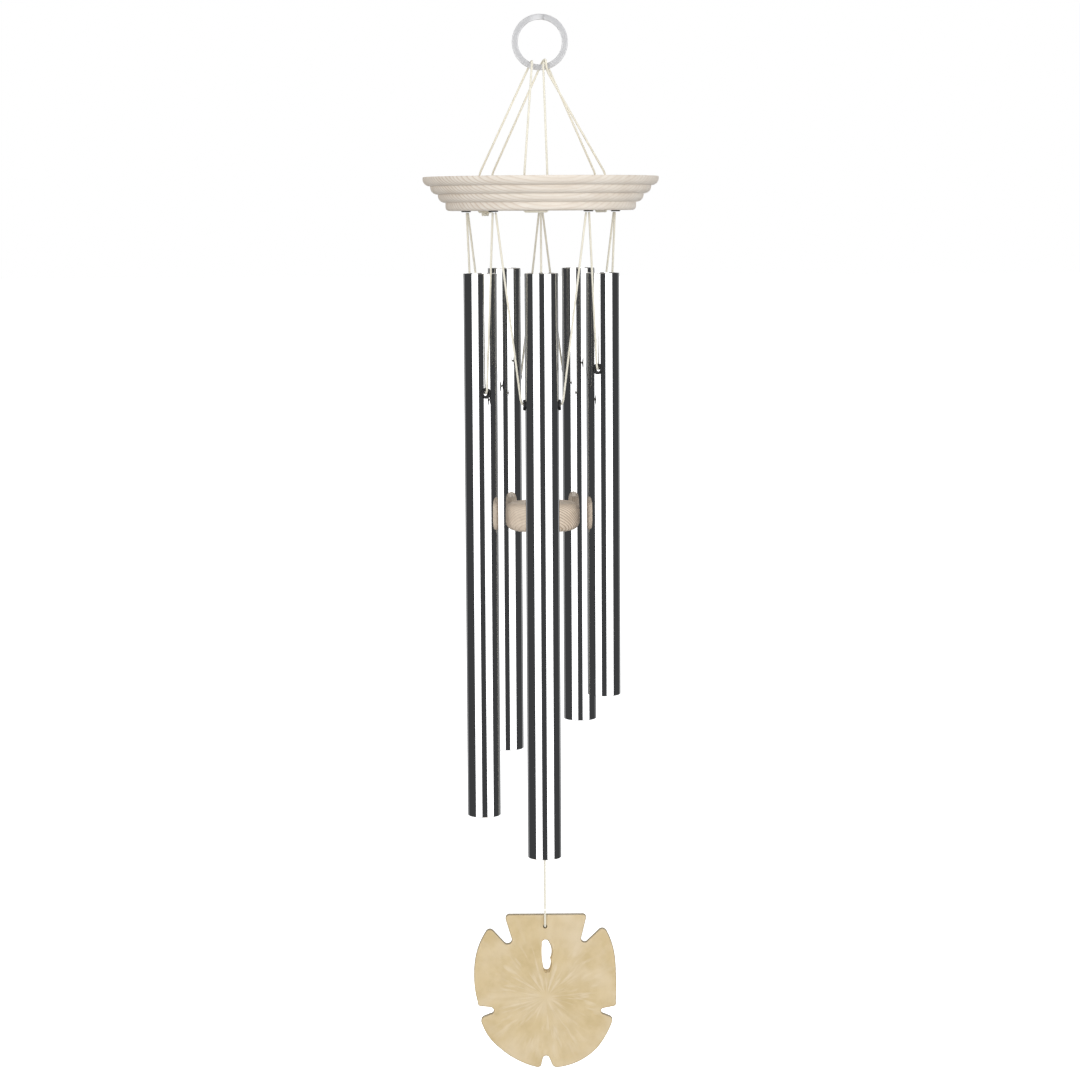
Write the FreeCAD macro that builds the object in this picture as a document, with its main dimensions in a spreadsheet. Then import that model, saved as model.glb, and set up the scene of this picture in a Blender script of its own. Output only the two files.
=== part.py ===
"""Five-tube wind chime, hung by a split ring, as a parametric FreeCAD document.

Millimetres, +Z up. The origin is the top of the ring's inner edge, where a hook carries it.
The front of the chime faces -Y. A place round the chime is an angle from the front, anticlockwise
seen from above, so that a point at angle A and distance D is (D sin A, -D cos A).
"""
import FreeCAD, Part
import math
import os

import Sketcher
from FreeCAD import Placement, Rotation, Vector

SIZES = {
    # split ring of flat wire, two coils
    "ring_inner_radius": 12.5,
    "ring_wire_width": 3.3,
    "ring_thick": 3.0,
    "ring_edge": 0.35,
    "coil_gap": 0.12,
    "coil_gap_depth": 0.5,
    # crown: a turned disc of four stacked bands
    "crown_top": -87.9,
    "crown_radius": 67.0,
    "band_step": 4.3,
    "band_round": 4.0,
    "rim_band": 5.2,
    "lower_band": 4.66,
    "rim_round": 0.7,
    "foot_round": 2.2,
    # holes in the crown
    "hanger_circle": 38.5,
    "hanger_spread": 12.8,
    "hanger_turn": -4.0,
    "hanger_hole_radius": 1.6,
    "eyelet_circle": 45.0,
    "eyelet_hole_radius": 2.35,
    "centre_hole_radius": 1.6,
    "knot_recess": 6.2,
    "knot_recess_radius": 3.6,
    "centre_recess_radius": 3.2,
    # eyelets
    "eyelet_bore_radius": 1.95,
    "eyelet_flange_radius": 2.75,
    "eyelet_flange": 0.7,
    "eyelet_barrel": 6.0,
    # tubes
    "tube_circle": 36.4,
    "tube_radius": 9.525,
    "tube_wall": 1.6,
    "tube_edge": 0.3,
    "cross_hole_radius": 2.3,
    "length_front": 331.0,
    "length_left_front": 311.0,
    "length_left_back": 281.5,
    "length_right_back": 264.0,
    "length_right_front": 241.0,
    "top_front": -141.8,
    "top_left_front": -142.2,
    "top_left_back": -140.0,
    "top_right_back": -140.0,
    "top_right_front": -142.2,
    "drop_front": 73.6,
    "drop_left_front": 67.4,
    "drop_left_back": 63.0,
    "drop_right_back": 58.6,
    "drop_right_front": 54.0,
    # rubber grommets in the tubes' cross holes
    "grommet_bore_radius": 1.5,
    "grommet_barrel_radius": 2.25,
    "grommet_flange_radius": 3.1,
    "grommet_proud": 1.2,
    "grommet_tail": 0.6,
    "grommet_gap": 0.03,
    # cord
    "cord_radius": 0.625,
    "bight_radius": 3.2,
    "fold_radius": 1.5,
    "pivot_gap": 0.05,
    "knot_gap": 0.1,
    "fold_gap": 0.2,
    "under_arc": 1.2,
    "tube_knot_radius": 2.6,
    "clapper_cord_knot_radius": 2.2,
    "clapper_knot_radius": 2.6,
    "sail_knot_radius": 2.1,
    "hanger_knot_radius": 1.5,
    # clapper and sail
    "clapper_top": -273.3,
    "clapper_thick": 16.0,
    "clapper_radius": 21.25,
    "clapper_round": 5.0,
    "clapper_bore_radius": 1.5,
    "sail_hole": -522.2,
    "sail_thick": 4.5,
    "sail_hole_radius": 1.25,
    "sail_gap": 0.12,
    "sail_shoulder": 7.0,
    "tie_above_sail": 3.1,
}

TUBES = {"front": 0, "left_front": -72, "left_back": -144, "right_back": 144, "right_front": 72}
HALF_STEP = 36  # degrees from a tube round to the eyelets on its two sides

doc = FreeCAD.newDocument("WindChime")
sheet = doc.addObject("Spreadsheet::Sheet", "Sizes")
for row, (alias, value) in enumerate(SIZES.items(), start=1):
    sheet.set(f"A{row}", alias)
    sheet.set(f"B{row}", str(value))
    sheet.setAlias(f"B{row}", alias)
doc.recompute()

NODES = []


def size(alias):
    """The number in the sheet's cell of that name."""
    return float(getattr(sheet, alias))


def worth(sum_text):
    """The value of a sum of cell names and numbers, such as 'crown_top - 2 * lower_band'."""
    total = 0.0
    for term in sum_text.replace("- ", "+ -").split("+ "):
        product = -1.0 if term.startswith("-") else 1.0
        for word in term.strip("- ").split(" * "):
            product *= size(word) if word in SIZES else float(word)
        total += product
    return total


def cells(sum_text):
    """The same sum as an expression that reads the sheet."""
    return " ".join("Sizes." + w if w in SIZES else w for w in sum_text.split())


def node(thing, label):
    """Names a finished sub-part, which is written to a file of that name."""
    thing.Label = label
    NODES.append(thing)
    return thing


def around(angle, distance, z=0.0):
    """The point at that angle from the front and that distance from the chime's axis."""
    a = math.radians(angle)
    return Vector(distance * math.sin(a), -distance * math.cos(a), z)


def new_body(label):
    return node(doc.addObject("PartDesign::Body", label), label)


def plane(body, role):
    return next(f for f in body.Origin.OriginFeatures if f.Role == role)


def new_sketch(body, name, role):
    sketch = body.newObject("Sketcher::SketchObject", name)
    sketch.AttachmentSupport = [(plane(body, role), "")]
    sketch.MapMode = "FlatFace"
    return sketch


def outline(body, name, role, corners):
    """A closed sketch of straight lines. Each corner is two sums, for its two coordinates."""
    sketch = new_sketch(body, name, role)
    spots = [Vector(worth(x), worth(y), 0) for x, y in corners]
    count = len(spots)
    for i in range(count):
        sketch.addGeometry(Part.LineSegment(spots[i], spots[(i + 1) % count]))
    for i in range(count):
        sketch.addConstraint(Sketcher.Constraint("Coincident", i, 2, (i + 1) % count, 1))
    for i, sums in enumerate(corners):
        for way, text in zip(("DistanceX", "DistanceY"), sums):
            held = sketch.addConstraint(Sketcher.Constraint(way, -1, 1, i, 1, worth(text)))
            sketch.setExpression(f"Constraints[{held}]", cells(text))
    return sketch


def rings(body, name, role, circles):
    """A sketch of circles, each given by sums for its two coordinates and its radius."""
    sketch = new_sketch(body, name, role)
    for i, (x, y, radius) in enumerate(circles):
        sketch.addGeometry(Part.Circle(Vector(worth(x), worth(y), 0), Vector(0, 0, 1), worth(radius)))
        for way, text in (("DistanceX", x), ("DistanceY", y)):
            held = sketch.addConstraint(Sketcher.Constraint(way, -1, 1, i, 3, worth(text)))
            sketch.setExpression(f"Constraints[{held}]", cells(text))
        held = sketch.addConstraint(Sketcher.Constraint("Radius", i, worth(radius)))
        sketch.setExpression(f"Constraints[{held}]", cells(radius))
    return sketch


def turned(body, name, sketch, cut=False):
    """A full turn of a sketch about its upright axis, added or cut away."""
    turn = body.newObject("PartDesign::Groove" if cut else "PartDesign::Revolution", name)
    turn.Profile = sketch
    turn.ReferenceAxis = (sketch, ["V_Axis"])
    turn.Angle = 360.0
    sketch.Visibility = False
    return turn


def cut_away(body, name, sketch, depth=None):
    """A pocket both ways through everything, or one way to a depth. It has to remove something."""
    doc.recompute()
    before = body.Shape.Volume
    pocket = body.newObject("PartDesign::Pocket", name)
    pocket.Profile = sketch
    if depth is None:
        pocket.Type = "ThroughAll"
        pocket.Midplane = True
    else:
        pocket.setExpression("Length", cells(depth))
    doc.recompute()
    if before - body.Shape.Volume < 1e-3:
        raise RuntimeError(f"{name} cuts nothing")
    return pocket


def ring_of(body, name, feature, sketch, count):
    """Copies of a feature all the way round the sketch's own normal."""
    pattern = body.newObject("PartDesign::PolarPattern", name)
    pattern.Originals = [feature]
    pattern.Axis = (sketch, ["N_Axis"])
    pattern.Angle = 360.0
    pattern.Occurrences = count
    body.Tip = pattern
    doc.recompute()
    return pattern


def edges_where(shape, test):
    """The names of a shape's edges that pass a test."""
    return [f"Edge{i}" for i, edge in enumerate(shape.Edges, start=1) if test(edge)]


def is_circle(edge, radius, z, slack=0.02):
    """Whether an edge is the level circle of that radius at that height."""
    curve = edge.Curve
    if not isinstance(curve, Part.Circle):
        return False
    return abs(curve.Radius - radius) < slack and abs(curve.Center.z - z) < slack


def rounded(body, name, kind, edges, sum_text):
    """A fillet or chamfer on named edges of the body's last feature."""
    base = body.Tip
    dressed = body.newObject(f"PartDesign::{kind}", name)
    dressed.Base = (base, edges)
    dressed.setExpression("Radius" if kind == "Fillet" else "Size", cells(sum_text))
    doc.recompute()
    return dressed


def arc_at(before, corner, after, radius):
    """The arc that rounds a corner between two runs, and how far it starts before the corner."""
    back = (before - corner).normalize()
    ahead = (after - corner).normalize()
    turn = math.pi - back.getAngle(ahead)
    reach = radius * math.tan(turn / 2)
    middle = (back + ahead).normalize()
    centre = corner + middle * (radius / math.cos(turn / 2))
    arc = Part.Arc(corner + back * reach, centre - middle * radius, corner + ahead * reach)
    return arc, reach


def cord_path(points, radii):
    """Straight runs joined by tangent arcs, one radius for each point between the ends."""
    edges, start = [], points[0]
    for i, radius in enumerate(radii, start=1):
        arc, _ = arc_at(points[i - 1], points[i], points[i + 1], radius)
        if (arc.StartPoint - start).Length > 1e-6:
            edges.append(Part.LineSegment(start, arc.StartPoint).toShape())
        edges.append(arc.toShape())
        start = arc.EndPoint
    edges.append(Part.LineSegment(start, points[-1]).toShape())
    return Part.Wire(edges)


def cord_tube(label, points, radii=()):
    """A round cord swept along its path. Its volume has to be its section times its length."""
    radius = size("cord_radius")
    path = cord_path(points, radii) if radii else Part.Wire([Part.LineSegment(*points).toShape()])
    heading = points[1] - points[0]
    section = Part.Wire([Part.Circle(points[0], heading, radius).toShape()])
    tube = path.makePipeShell([section], True, False)
    wanted = math.pi * radius**2 * path.Length
    if abs(tube.Volume - wanted) > 0.01 * wanted:
        raise RuntimeError(f"{label}: volume {tube.Volume:.3f}, section times length {wanted:.3f}")
    print(f"{label}: length {path.Length:.1f}, arc radii {[round(r, 2) for r in radii]}")
    return tube


def made(label, shape, place=None):
    """A sub-part whose shape comes from Part's functions, with its placement set after it."""
    thing = node(doc.addObject("Part::Feature", label), label)
    thing.Shape = shape
    if place is not None:
        thing.Placement = place
    return thing


def place_round(thing, angle, distance, z_sum):
    """Binds a placement to the sheet: at that angle and distance, turned to face outwards."""
    thing.Placement.Rotation = Rotation(Vector(0, 0, 1), angle)
    thing.setExpression("Placement.Base.x", f"Sizes.{distance} * sin({angle} deg)")
    thing.setExpression("Placement.Base.y", f"-Sizes.{distance} * cos({angle} deg)")
    thing.setExpression("Placement.Base.z", cells(z_sum))


# ---------------------------------------------------------------- hanging ring


def hanging_ring():
    """A split ring: flat wire in two coils side by side, open at the coils' ends."""
    body = new_body("hanging_ring")
    inside, outside = "ring_inner_radius", "ring_inner_radius + ring_wire_width"
    section = outline(
        body, "ring_section", "XY_Plane",
        [
            (f"{inside} + ring_edge", "0 - 0.5 * ring_thick"),
            (f"{outside} - ring_edge", "0 - 0.5 * ring_thick"),
            (outside, "ring_edge - 0.5 * ring_thick"),
            (outside, "0.5 * ring_thick - ring_edge"),
            (f"{outside} - ring_edge", "0.5 * ring_thick"),
            (f"{inside} + ring_edge", "0.5 * ring_thick"),
            (inside, "0.5 * ring_thick - ring_edge"),
            (inside, "ring_edge - 0.5 * ring_thick"),
        ],
    )
    turned(body, "ring_turn", section)
    doc.recompute()
    for name, near, far in (
        ("outer_seam", f"{outside} - coil_gap_depth", f"{outside} + coil_gap_depth"),
        ("inner_seam", f"{inside} - coil_gap_depth", f"{inside} + coil_gap_depth"),
    ):
        low, high = "0 - 0.5 * coil_gap", "0.5 * coil_gap"
        seam = outline(body, name, "XY_Plane", [(near, low), (far, low), (far, high), (near, high)])
        before = body.Shape.Volume
        turned(body, f"{name}_groove", seam, cut=True)
        doc.recompute()
        if before - body.Shape.Volume < 1e-3:
            raise RuntimeError(f"{name} cuts nothing")
    body.setExpression("Placement.Base.z", "-Sizes.ring_inner_radius")
    return body


# ---------------------------------------------------------------- crown


def crown_disc():
    """The turned wooden disc: four bands, each rounded in towards the next, and its cord holes.

    Each hole that carries a knot is wider at the top, so that the knot sits inside the wood.
    """
    body = new_body("crown_disc")
    corners = [("0", "0"), ("crown_radius", "0")]
    for band in range(4):
        wide = f"crown_radius - {band} * band_step" if band else "crown_radius"
        low = "0 - rim_band" + f" - {band} * lower_band" * bool(band)
        corners.append((wide, low))
        if band < 3:
            corners.append((f"crown_radius - {band + 1} * band_step", low))
    corners.append(("0", "0 - rim_band - 3 * lower_band"))
    section = outline(body, "crown_section", "XZ_Plane", corners)
    turned(body, "crown_turn", section)
    doc.recompute()

    def band_foot(edge):
        for band in range(3):
            radius = size("crown_radius") - band * size("band_step")
            z = -size("rim_band") - band * size("lower_band")
            if is_circle(edge, radius, z):
                return True
        return False

    rounded(body, "band_rounds", "Fillet", edges_where(body.Shape, band_foot), "band_round")
    foot_radius = size("crown_radius") - 3 * size("band_step")
    foot_z = -size("rim_band") - 3 * size("lower_band")
    foot = edges_where(body.Shape, lambda edge: is_circle(edge, foot_radius, foot_z))
    rounded(body, "foot_rounded", "Fillet", foot, "foot_round")
    rim = edges_where(body.Shape, lambda edge: is_circle(edge, size("crown_radius"), 0))
    rounded(body, "rim_rounded", "Fillet", rim, "rim_round")

    pair = rings(
        body, "hanger_pair", "XY_Plane",
        [
            ("0 - 0.5 * hanger_spread", "0 - hanger_circle", "hanger_hole_radius"),
            ("0.5 * hanger_spread", "0 - hanger_circle", "hanger_hole_radius"),
        ],
    )
    pair.AttachmentOffset = Placement(Vector(), Rotation(Vector(0, 0, 1), size("hanger_turn")))
    holes = cut_away(body, "hanger_holes", pair)
    ring_of(body, "hanger_hole_ring", holes, pair, 3)
    one = rings(body, "eyelet_seat", "XY_Plane", [("0", "eyelet_circle", "eyelet_hole_radius")])
    seat = cut_away(body, "eyelet_holes", one)
    ring_of(body, "eyelet_hole_ring", seat, one, len(TUBES))
    wide = rings(body, "knot_seat", "XY_Plane", [("0", "eyelet_circle", "knot_recess_radius")])
    recess = cut_away(body, "knot_recesses", wide, "knot_recess")
    ring_of(body, "knot_recess_ring", recess, wide, len(TUBES))
    middle = rings(body, "centre_seat", "XY_Plane", [("0", "0", "centre_hole_radius")])
    cut_away(body, "centre_hole", middle)
    mouth = rings(body, "centre_knot_seat", "XY_Plane", [("0", "0", "centre_recess_radius")])
    cut_away(body, "centre_recess", mouth, "knot_recess")
    body.setExpression("Placement.Base.z", "Sizes.crown_top")
    return body


CROWN_FOOT = "crown_top - rim_band - 3 * lower_band"


def crown_eyelets():
    """Five black eyelets pressed up into the crown's underside."""
    profile = [
        ("eyelet_bore_radius", "0 - eyelet_flange"),
        ("eyelet_flange_radius", "0 - eyelet_flange"),
        ("eyelet_flange_radius", "0"),
        ("eyelet_hole_radius", "0"),
        ("eyelet_hole_radius", "eyelet_barrel"),
        ("eyelet_bore_radius", "eyelet_barrel"),
    ]
    points = [Vector(worth(x), 0, worth(z)) for x, z in profile]
    face = Part.Face(Part.makePolygon(points + points[:1]))
    eyelet = face.revolve(Vector(), Vector(0, 0, 1), 360)
    copies = []
    for angle in eyelet_angles():
        copy = eyelet.copy()
        copy.translate(around(angle, size("eyelet_circle"), worth(CROWN_FOOT)))
        copies.append(copy)
    return made("crown_eyelets", Part.makeCompound(copies))


def eyelet_angles():
    return [angle + HALF_STEP for angle in TUBES.values()]


# ---------------------------------------------------------------- hanger cord


def wire_height(x):
    """The height of the middle of the ring's wire at its bottom, x to the side of the middle."""
    middle = size("ring_inner_radius") + size("ring_wire_width") / 2
    return -size("ring_inner_radius") - math.sqrt(middle**2 - x**2)


def hanger_hole(pair_angle, side, z):
    """The middle of one hole of a pair, on its left or right side as it faces outwards."""
    angle = pair_angle + size("hanger_turn")
    place = around(angle, size("hanger_circle"), z)
    a = math.radians(angle)
    return place + Vector(math.cos(a), math.sin(a), 0) * (side * size("hanger_spread") / 2)


FRONT_PAIR, LEFT_PAIR, RIGHT_PAIR = 0, -120, 120
LEFT, RIGHT = -1, 1
IN_HOLE = 6.0  # how far a hanger length reaches down into its hole
LEG_TOP = 8.0  # how far an under-run's legs reach up into their holes
MOUTH = 0.8  # how far above the crown a hanger length turns down into its hole
MOUTH_ARC = 4.0
LEAN_ARC = 4.0
LOBE_SPREAD = 0.9  # of a lobe's radius, from the knot's middle to the middle of each of its lobes


def hanger_length(label, from_hole, to_hole, over, round_wire):
    """One length of the hanger cord: up from a hole, over the ring's wire and down to another."""
    top = size("crown_top")
    rise = [hanger_hole(*from_hole, top - IN_HOLE), hanger_hole(*from_hole, top + MOUTH)]
    fall = [hanger_hole(*to_hole, top + MOUTH), hanger_hole(*to_hole, top - IN_HOLE)]
    radii = [MOUTH_ARC, *round_wire, MOUTH_ARC]
    return made(label, cord_tube(label, rise + over + fall, radii))


def hanger_cord():
    """Three lengths from the crown over the ring, two runs under the crown, and the knot."""
    bight = size("bight_radius")
    over_left = wire_height(4.6) + bight
    hanger_length(
        "hanger_cord_left", (LEFT_PAIR, RIGHT), (FRONT_PAIR, LEFT),
        [Vector(-4.9, bight, over_left), Vector(-4.4, -bight, over_left)], [bight, bight],
    )
    over_middle = wire_height(2.5) + bight
    hanger_length(
        "hanger_cord_middle", (FRONT_PAIR, RIGHT), (RIGHT_PAIR, RIGHT),
        [Vector(1.8, -bight, over_middle), Vector(3.4, bight, over_middle)], [bight, bight],
    )
    over_right = over_middle + 1.4
    under_wire = wire_height(3.4) - 2.0
    hanger_length(
        "hanger_cord_right", (RIGHT_PAIR, LEFT), (LEFT_PAIR, LEFT),
        [
            Vector(3.6, -bight + 0.1, under_wire),
            Vector(3.5, -bight, over_right),
            Vector(1.8, bight, over_right),
        ],
        [LEAN_ARC, bight, bight],
    )
    for label, pair in (("hanger_underrun_front", FRONT_PAIR), ("hanger_underrun_right", RIGHT_PAIR)):
        made(label, under_run(label, pair))
    run = under_run("hanger_knot", LEFT_PAIR)
    lobe = size("hanger_knot_radius")
    low = worth(CROWN_FOOT) - lobe - size("knot_gap")
    middle = hanger_hole(LEFT_PAIR, 0, low)
    across = (hanger_hole(LEFT_PAIR, RIGHT, low) - middle).normalize()
    lobes = [Part.makeSphere(lobe, middle + across * (side * LOBE_SPREAD * lobe))
             for side in (LEFT, RIGHT)]
    crown = doc.getObject("crown_disc").Shape
    made("hanger_knot", run.fuse(lobes).cut(crown).removeSplitter())


def under_run(label, pair):
    """The cord from one hole to its neighbour, tight under the crown."""
    foot = worth(CROWN_FOOT)
    low = foot - size("cord_radius") - size("pivot_gap")
    points = [
        hanger_hole(pair, LEFT, foot + LEG_TOP),
        hanger_hole(pair, LEFT, low),
        hanger_hole(pair, RIGHT, low),
        hanger_hole(pair, RIGHT, foot + LEG_TOP),
    ]
    return cord_tube(label, points, [size("under_arc")] * 2)


# ---------------------------------------------------------------- tubes


def tube(name, angle):
    """An aluminium tube, drilled across. Its own origin is the middle of its cross hole."""
    body = new_body(f"tube_{name}")
    high, low = f"drop_{name}", f"drop_{name} - length_{name}"
    section = outline(
        body, f"wall_{name}", "XZ_Plane",
        [
            ("tube_radius - tube_wall", low),
            ("tube_radius", low),
            ("tube_radius", high),
            ("tube_radius - tube_wall", high),
        ],
    )
    turned(body, f"drawn_{name}", section)
    doc.recompute()
    radius = size("tube_radius")
    ends = edges_where(
        body.Shape, lambda e: is_circle(e, radius, worth(high)) or is_circle(e, radius, worth(low))
    )
    rounded(body, f"deburred_{name}", "Chamfer", ends, "tube_edge")
    drill = rings(body, f"drill_{name}", "YZ_Plane", [("0", "0", "cross_hole_radius")])
    cut_away(body, f"cross_hole_{name}", drill)
    place_round(body, angle, "tube_circle", f"top_{name} - drop_{name}")
    return body


def grommet_pair():
    """The two rubber grommets of one tube, their axis along X through the origin."""
    near = "tube_radius - tube_wall - grommet_tail"
    along = Rotation(Vector(0, 1, 0), 90)

    def bar(name, radius, length, x):
        cylinder = doc.addObject("Part::Cylinder", name)
        cylinder.setExpression("Radius", cells(radius))
        cylinder.setExpression("Height", cells(length))
        cylinder.Placement = Placement(Vector(), along)
        cylinder.setExpression("Placement.Base.x", cells(x))
        return cylinder

    length = "grommet_proud + tube_wall + grommet_tail"
    flange = bar("grommet_flange", "grommet_flange_radius", length, near)
    barrel = bar("grommet_barrel", "grommet_barrel_radius", length, near)
    bore = bar("grommet_bore", "grommet_bore_radius", "2 * tube_radius + 2 * tube_wall", "0")
    wall = doc.addObject("Part::Cylinder", "grommet_saddle")
    wall.setExpression("Radius", cells("tube_radius + grommet_gap"))
    wall.setExpression("Height", cells("4 * grommet_flange_radius"))
    wall.setExpression("Placement.Base.z", "-2 * Sizes.grommet_flange_radius")
    saddle = doc.addObject("Part::Cut", "grommet_flange_saddled")
    saddle.Base, saddle.Tool = flange, wall
    whole = doc.addObject("Part::Fuse", "grommet_whole")
    whole.Base, whole.Tool = saddle, barrel
    right = doc.addObject("Part::Cut", "grommet_right")
    right.Base, right.Tool = whole, bore
    left = doc.addObject("Part::Mirroring", "grommet_left")
    left.Source = right
    left.Normal = Vector(1, 0, 0)
    pair = doc.addObject("Part::Compound", "grommet_pair")
    pair.Links = [left, right]
    doc.recompute()
    return pair


def tube_cord(name, angle):
    """The cord that hangs one tube: down from one eyelet, through the tube, up to the next."""
    side = size("eyelet_circle") * math.sin(math.radians(HALF_STEP)) - leg_offset()
    bend = worth("tube_radius + grommet_proud + cord_radius + fold_gap")
    hole = worth(f"top_{name} - drop_{name}")
    top = pivot_height()
    points = [Vector(-side, 0, top), Vector(-bend, 0, hole), Vector(bend, 0, hole), Vector(side, 0, top)]
    tube_run = cord_tube(f"tube_cord_{name}", points, [size("fold_radius")] * 2)
    balls = [Part.makeSphere(size("cord_radius"), p) for p in (points[0], points[-1])]
    cord = tube_run.fuse(balls)
    place = Placement(around(angle, eyelet_line()), Rotation(Vector(0, 0, 1), angle))
    return made(f"tube_cord_{name}", cord, place)


def eyelet_line():
    """How far the line through two neighbouring eyelets is from the chime's axis."""
    return size("eyelet_circle") * math.cos(math.radians(HALF_STEP))


def leg_offset():
    """How far each of the two cords in an eyelet is from its middle."""
    return worth("eyelet_bore_radius - cord_radius - pivot_gap")


def pivot_height():
    """Where the tube cords hinge, just under the eyelets' flanges."""
    return worth(f"{CROWN_FOOT} - eyelet_flange - fold_gap")


def tube_cord_knots():
    """The knots in the crown's recesses, each with the two cords that come up through an eyelet."""
    middle = worth("crown_top - knot_recess + tube_knot_radius + pivot_gap")
    low = pivot_height() + worth("cord_radius + pivot_gap")
    seat = around(0, size("eyelet_circle"))
    legs = []
    for side in (LEFT, RIGHT):
        a = math.radians(side * HALF_STEP)
        step = Vector(math.cos(a), math.sin(a), 0) * (side * leg_offset())
        foot = seat + step + Vector(0, 0, low)
        legs.append(Part.makeCylinder(size("cord_radius"), middle - low, foot))
    knot = Part.makeSphere(size("tube_knot_radius"), seat + Vector(0, 0, middle)).fuse(legs)
    copies = []
    for angle in eyelet_angles():
        copy = knot.copy()
        copy.rotate(Vector(), Vector(0, 0, 1), angle)
        copies.append(copy)
    return made("tube_cord_knots", Part.makeCompound(copies))


# ---------------------------------------------------------------- clapper and sail


def knot_on_axis(label, height):
    """A knot as a plain ball on the chime's axis. Its height is an expression."""
    knot = node(doc.addObject("Part::Sphere", label), label)
    knot.setExpression("Radius", f"Sizes.{label}_radius")
    knot.setExpression("Placement.Base.z", height)
    doc.recompute()
    return knot


CENTRE_KNOT = "crown_top - knot_recess + clapper_cord_knot_radius"
CLAPPER_FOOT = "clapper_top - clapper_thick"
# The knot that carries the clapper sits in the mouth of its bore, sunk by this much.
SINK = "sqrt(Sizes.clapper_knot_radius ^ 2 - Sizes.clapper_bore_radius ^ 2)"


def clapper_knot_height():
    """The middle of the knot that carries the clapper."""
    return doc.getObject("clapper_knot").Placement.Base.z


def clapper():
    """The wooden striker, a thick disc with rounded edges, threaded on the centre cord."""
    body = new_body("clapper")
    low, high = "0 - clapper_thick", "0"
    section = outline(
        body, "clapper_section", "XZ_Plane",
        [
            ("clapper_bore_radius", low),
            ("clapper_radius", low),
            ("clapper_radius", high),
            ("clapper_bore_radius", high),
        ],
    )
    turned(body, "clapper_turn", section)
    doc.recompute()
    radius, foot = size("clapper_radius"), -size("clapper_thick")
    ends = edges_where(body.Shape, lambda e: is_circle(e, radius, 0) or is_circle(e, radius, foot))
    rounded(body, "clapper_edge", "Fillet", ends, "clapper_round")
    body.setExpression("Placement.Base.z", "Sizes.clapper_top")
    return body


def clapper_cord():
    top = worth(f"{CENTRE_KNOT} - clapper_cord_knot_radius - pivot_gap")
    low = clapper_knot_height() + worth("clapper_knot_radius + pivot_gap")
    return made("clapper_cord", cord_tube("clapper_cord", [Vector(0, 0, top), Vector(0, 0, low)]))


def sail_cord():
    top = clapper_knot_height() - worth("clapper_knot_radius + pivot_gap")
    low = sail_tie_top() + size("pivot_gap")
    return made("sail_cord", cord_tube("sail_cord", [Vector(0, 0, top), Vector(0, 0, low)]))


def sail_tie_top():
    return worth("sail_hole + sail_shoulder + tie_above_sail")


def sail_face():
    """How far behind the centre cord the sail's front face is."""
    return worth("cord_radius + sail_gap")


def sail_tie():
    """The end of the centre cord: down the sail's face, back through its hole, and a knot."""
    hole = size("sail_hole")
    back = sail_face() + size("sail_thick")
    knot = size("sail_knot_radius")
    middle = Vector(0, back + knot + size("knot_gap"), hole)
    points = [Vector(0, 0, sail_tie_top()), Vector(0, 0, hole), middle]
    run = cord_tube("sail_tie", points, [size("fold_radius")])
    end = Part.makeSphere(knot, middle)
    return made("sail_tie", run.fuse(end))


# The sail's outline from its cord hole, clockwise from the top left: a place to go to, and for a
# curved stretch a place on the way there. It is a sand dollar with a flat tab at the top, a notch
# each side of the tab, one each side below the middle, and one at the bottom.
SAIL_OUTLINE = [
    ((-21.2, 7.0), None),
    ((22.1, 7.0), None),
    ((23.9, 4.6), (23.5, 6.3)),
    ((21.1, -7.0), None),
    ((24.7, -8.8), (22.2, -9.5)),
    ((31.1, -2.6), None),
    ((35.9, -3.2), (33.7, -1.6)),
    ((41.0, -21.5), (39.4, -12.0)),
    ((41.3, -45.5), (41.5, -34.0)),
    ((39.7, -48.0), (41.0, -47.3)),
    ((34.2, -49.1), None),
    ((33.9, -52.5), (32.5, -50.8)),
    ((37.0, -53.8), None),
    ((38.9, -57.6), (39.0, -55.5)),
    ((30.4, -72.7), (35.2, -65.6)),
    ((6.5, -84.5), (19.4, -80.9)),
    ((3.4, -82.2), (4.5, -83.8)),
    ((2.1, -79.0), None),
    ((-1.8, -79.2), (0.1, -77.5)),
    ((-2.5, -82.4), None),
    ((-5.4, -84.3), (-3.4, -83.9)),
    ((-26.5, -73.1), (-16.8, -79.9)),
    ((-37.4, -58.0), (-33.2, -66.2)),
    ((-35.9, -53.7), (-37.6, -55.4)),
    ((-32.4, -52.3), None),
    ((-32.4, -48.2), (-30.4, -50.4)),
    ((-38.2, -47.5), None),
    ((-39.7, -45.2), (-39.4, -46.8)),
    ((-40.7, -17.9), (-41.8, -31.0)),
    ((-34.7, -3.4), (-38.3, -10.2)),
    ((-30.2, -2.8), (-32.3, -1.8)),
    ((-23.7, -9.9), None),
    ((-19.7, -7.0), (-20.8, -10.2)),
    ((-23.0, 4.0), None),
    ((-21.2, 7.0), (-22.6, 6.1)),
]
SAIL_SLOT = [
    ((-1.9, -10.5), None),
    ((2.9, -9.4), (0.4, -7.4)),
    ((3.4, -20.0), (4.5, -15.0)),
    ((3.2, -26.0), (3.9, -23.0)),
    ((-1.0, -26.4), (1.4, -28.0)),
    ((-1.9, -10.5), (-2.1, -18.5)),
]


def curved_outline(sketch, stretches):
    """Adds a closed outline of straight and curved stretches to a sketch."""
    start = stretches[0][0]
    for end, way in stretches[1:]:
        a, b = Vector(*start, 0), Vector(*end, 0)
        if way is None:
            sketch.addGeometry(Part.LineSegment(a, b))
        else:
            sketch.addGeometry(Part.Arc(a, Vector(*way, 0), b))
        start = end


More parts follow.
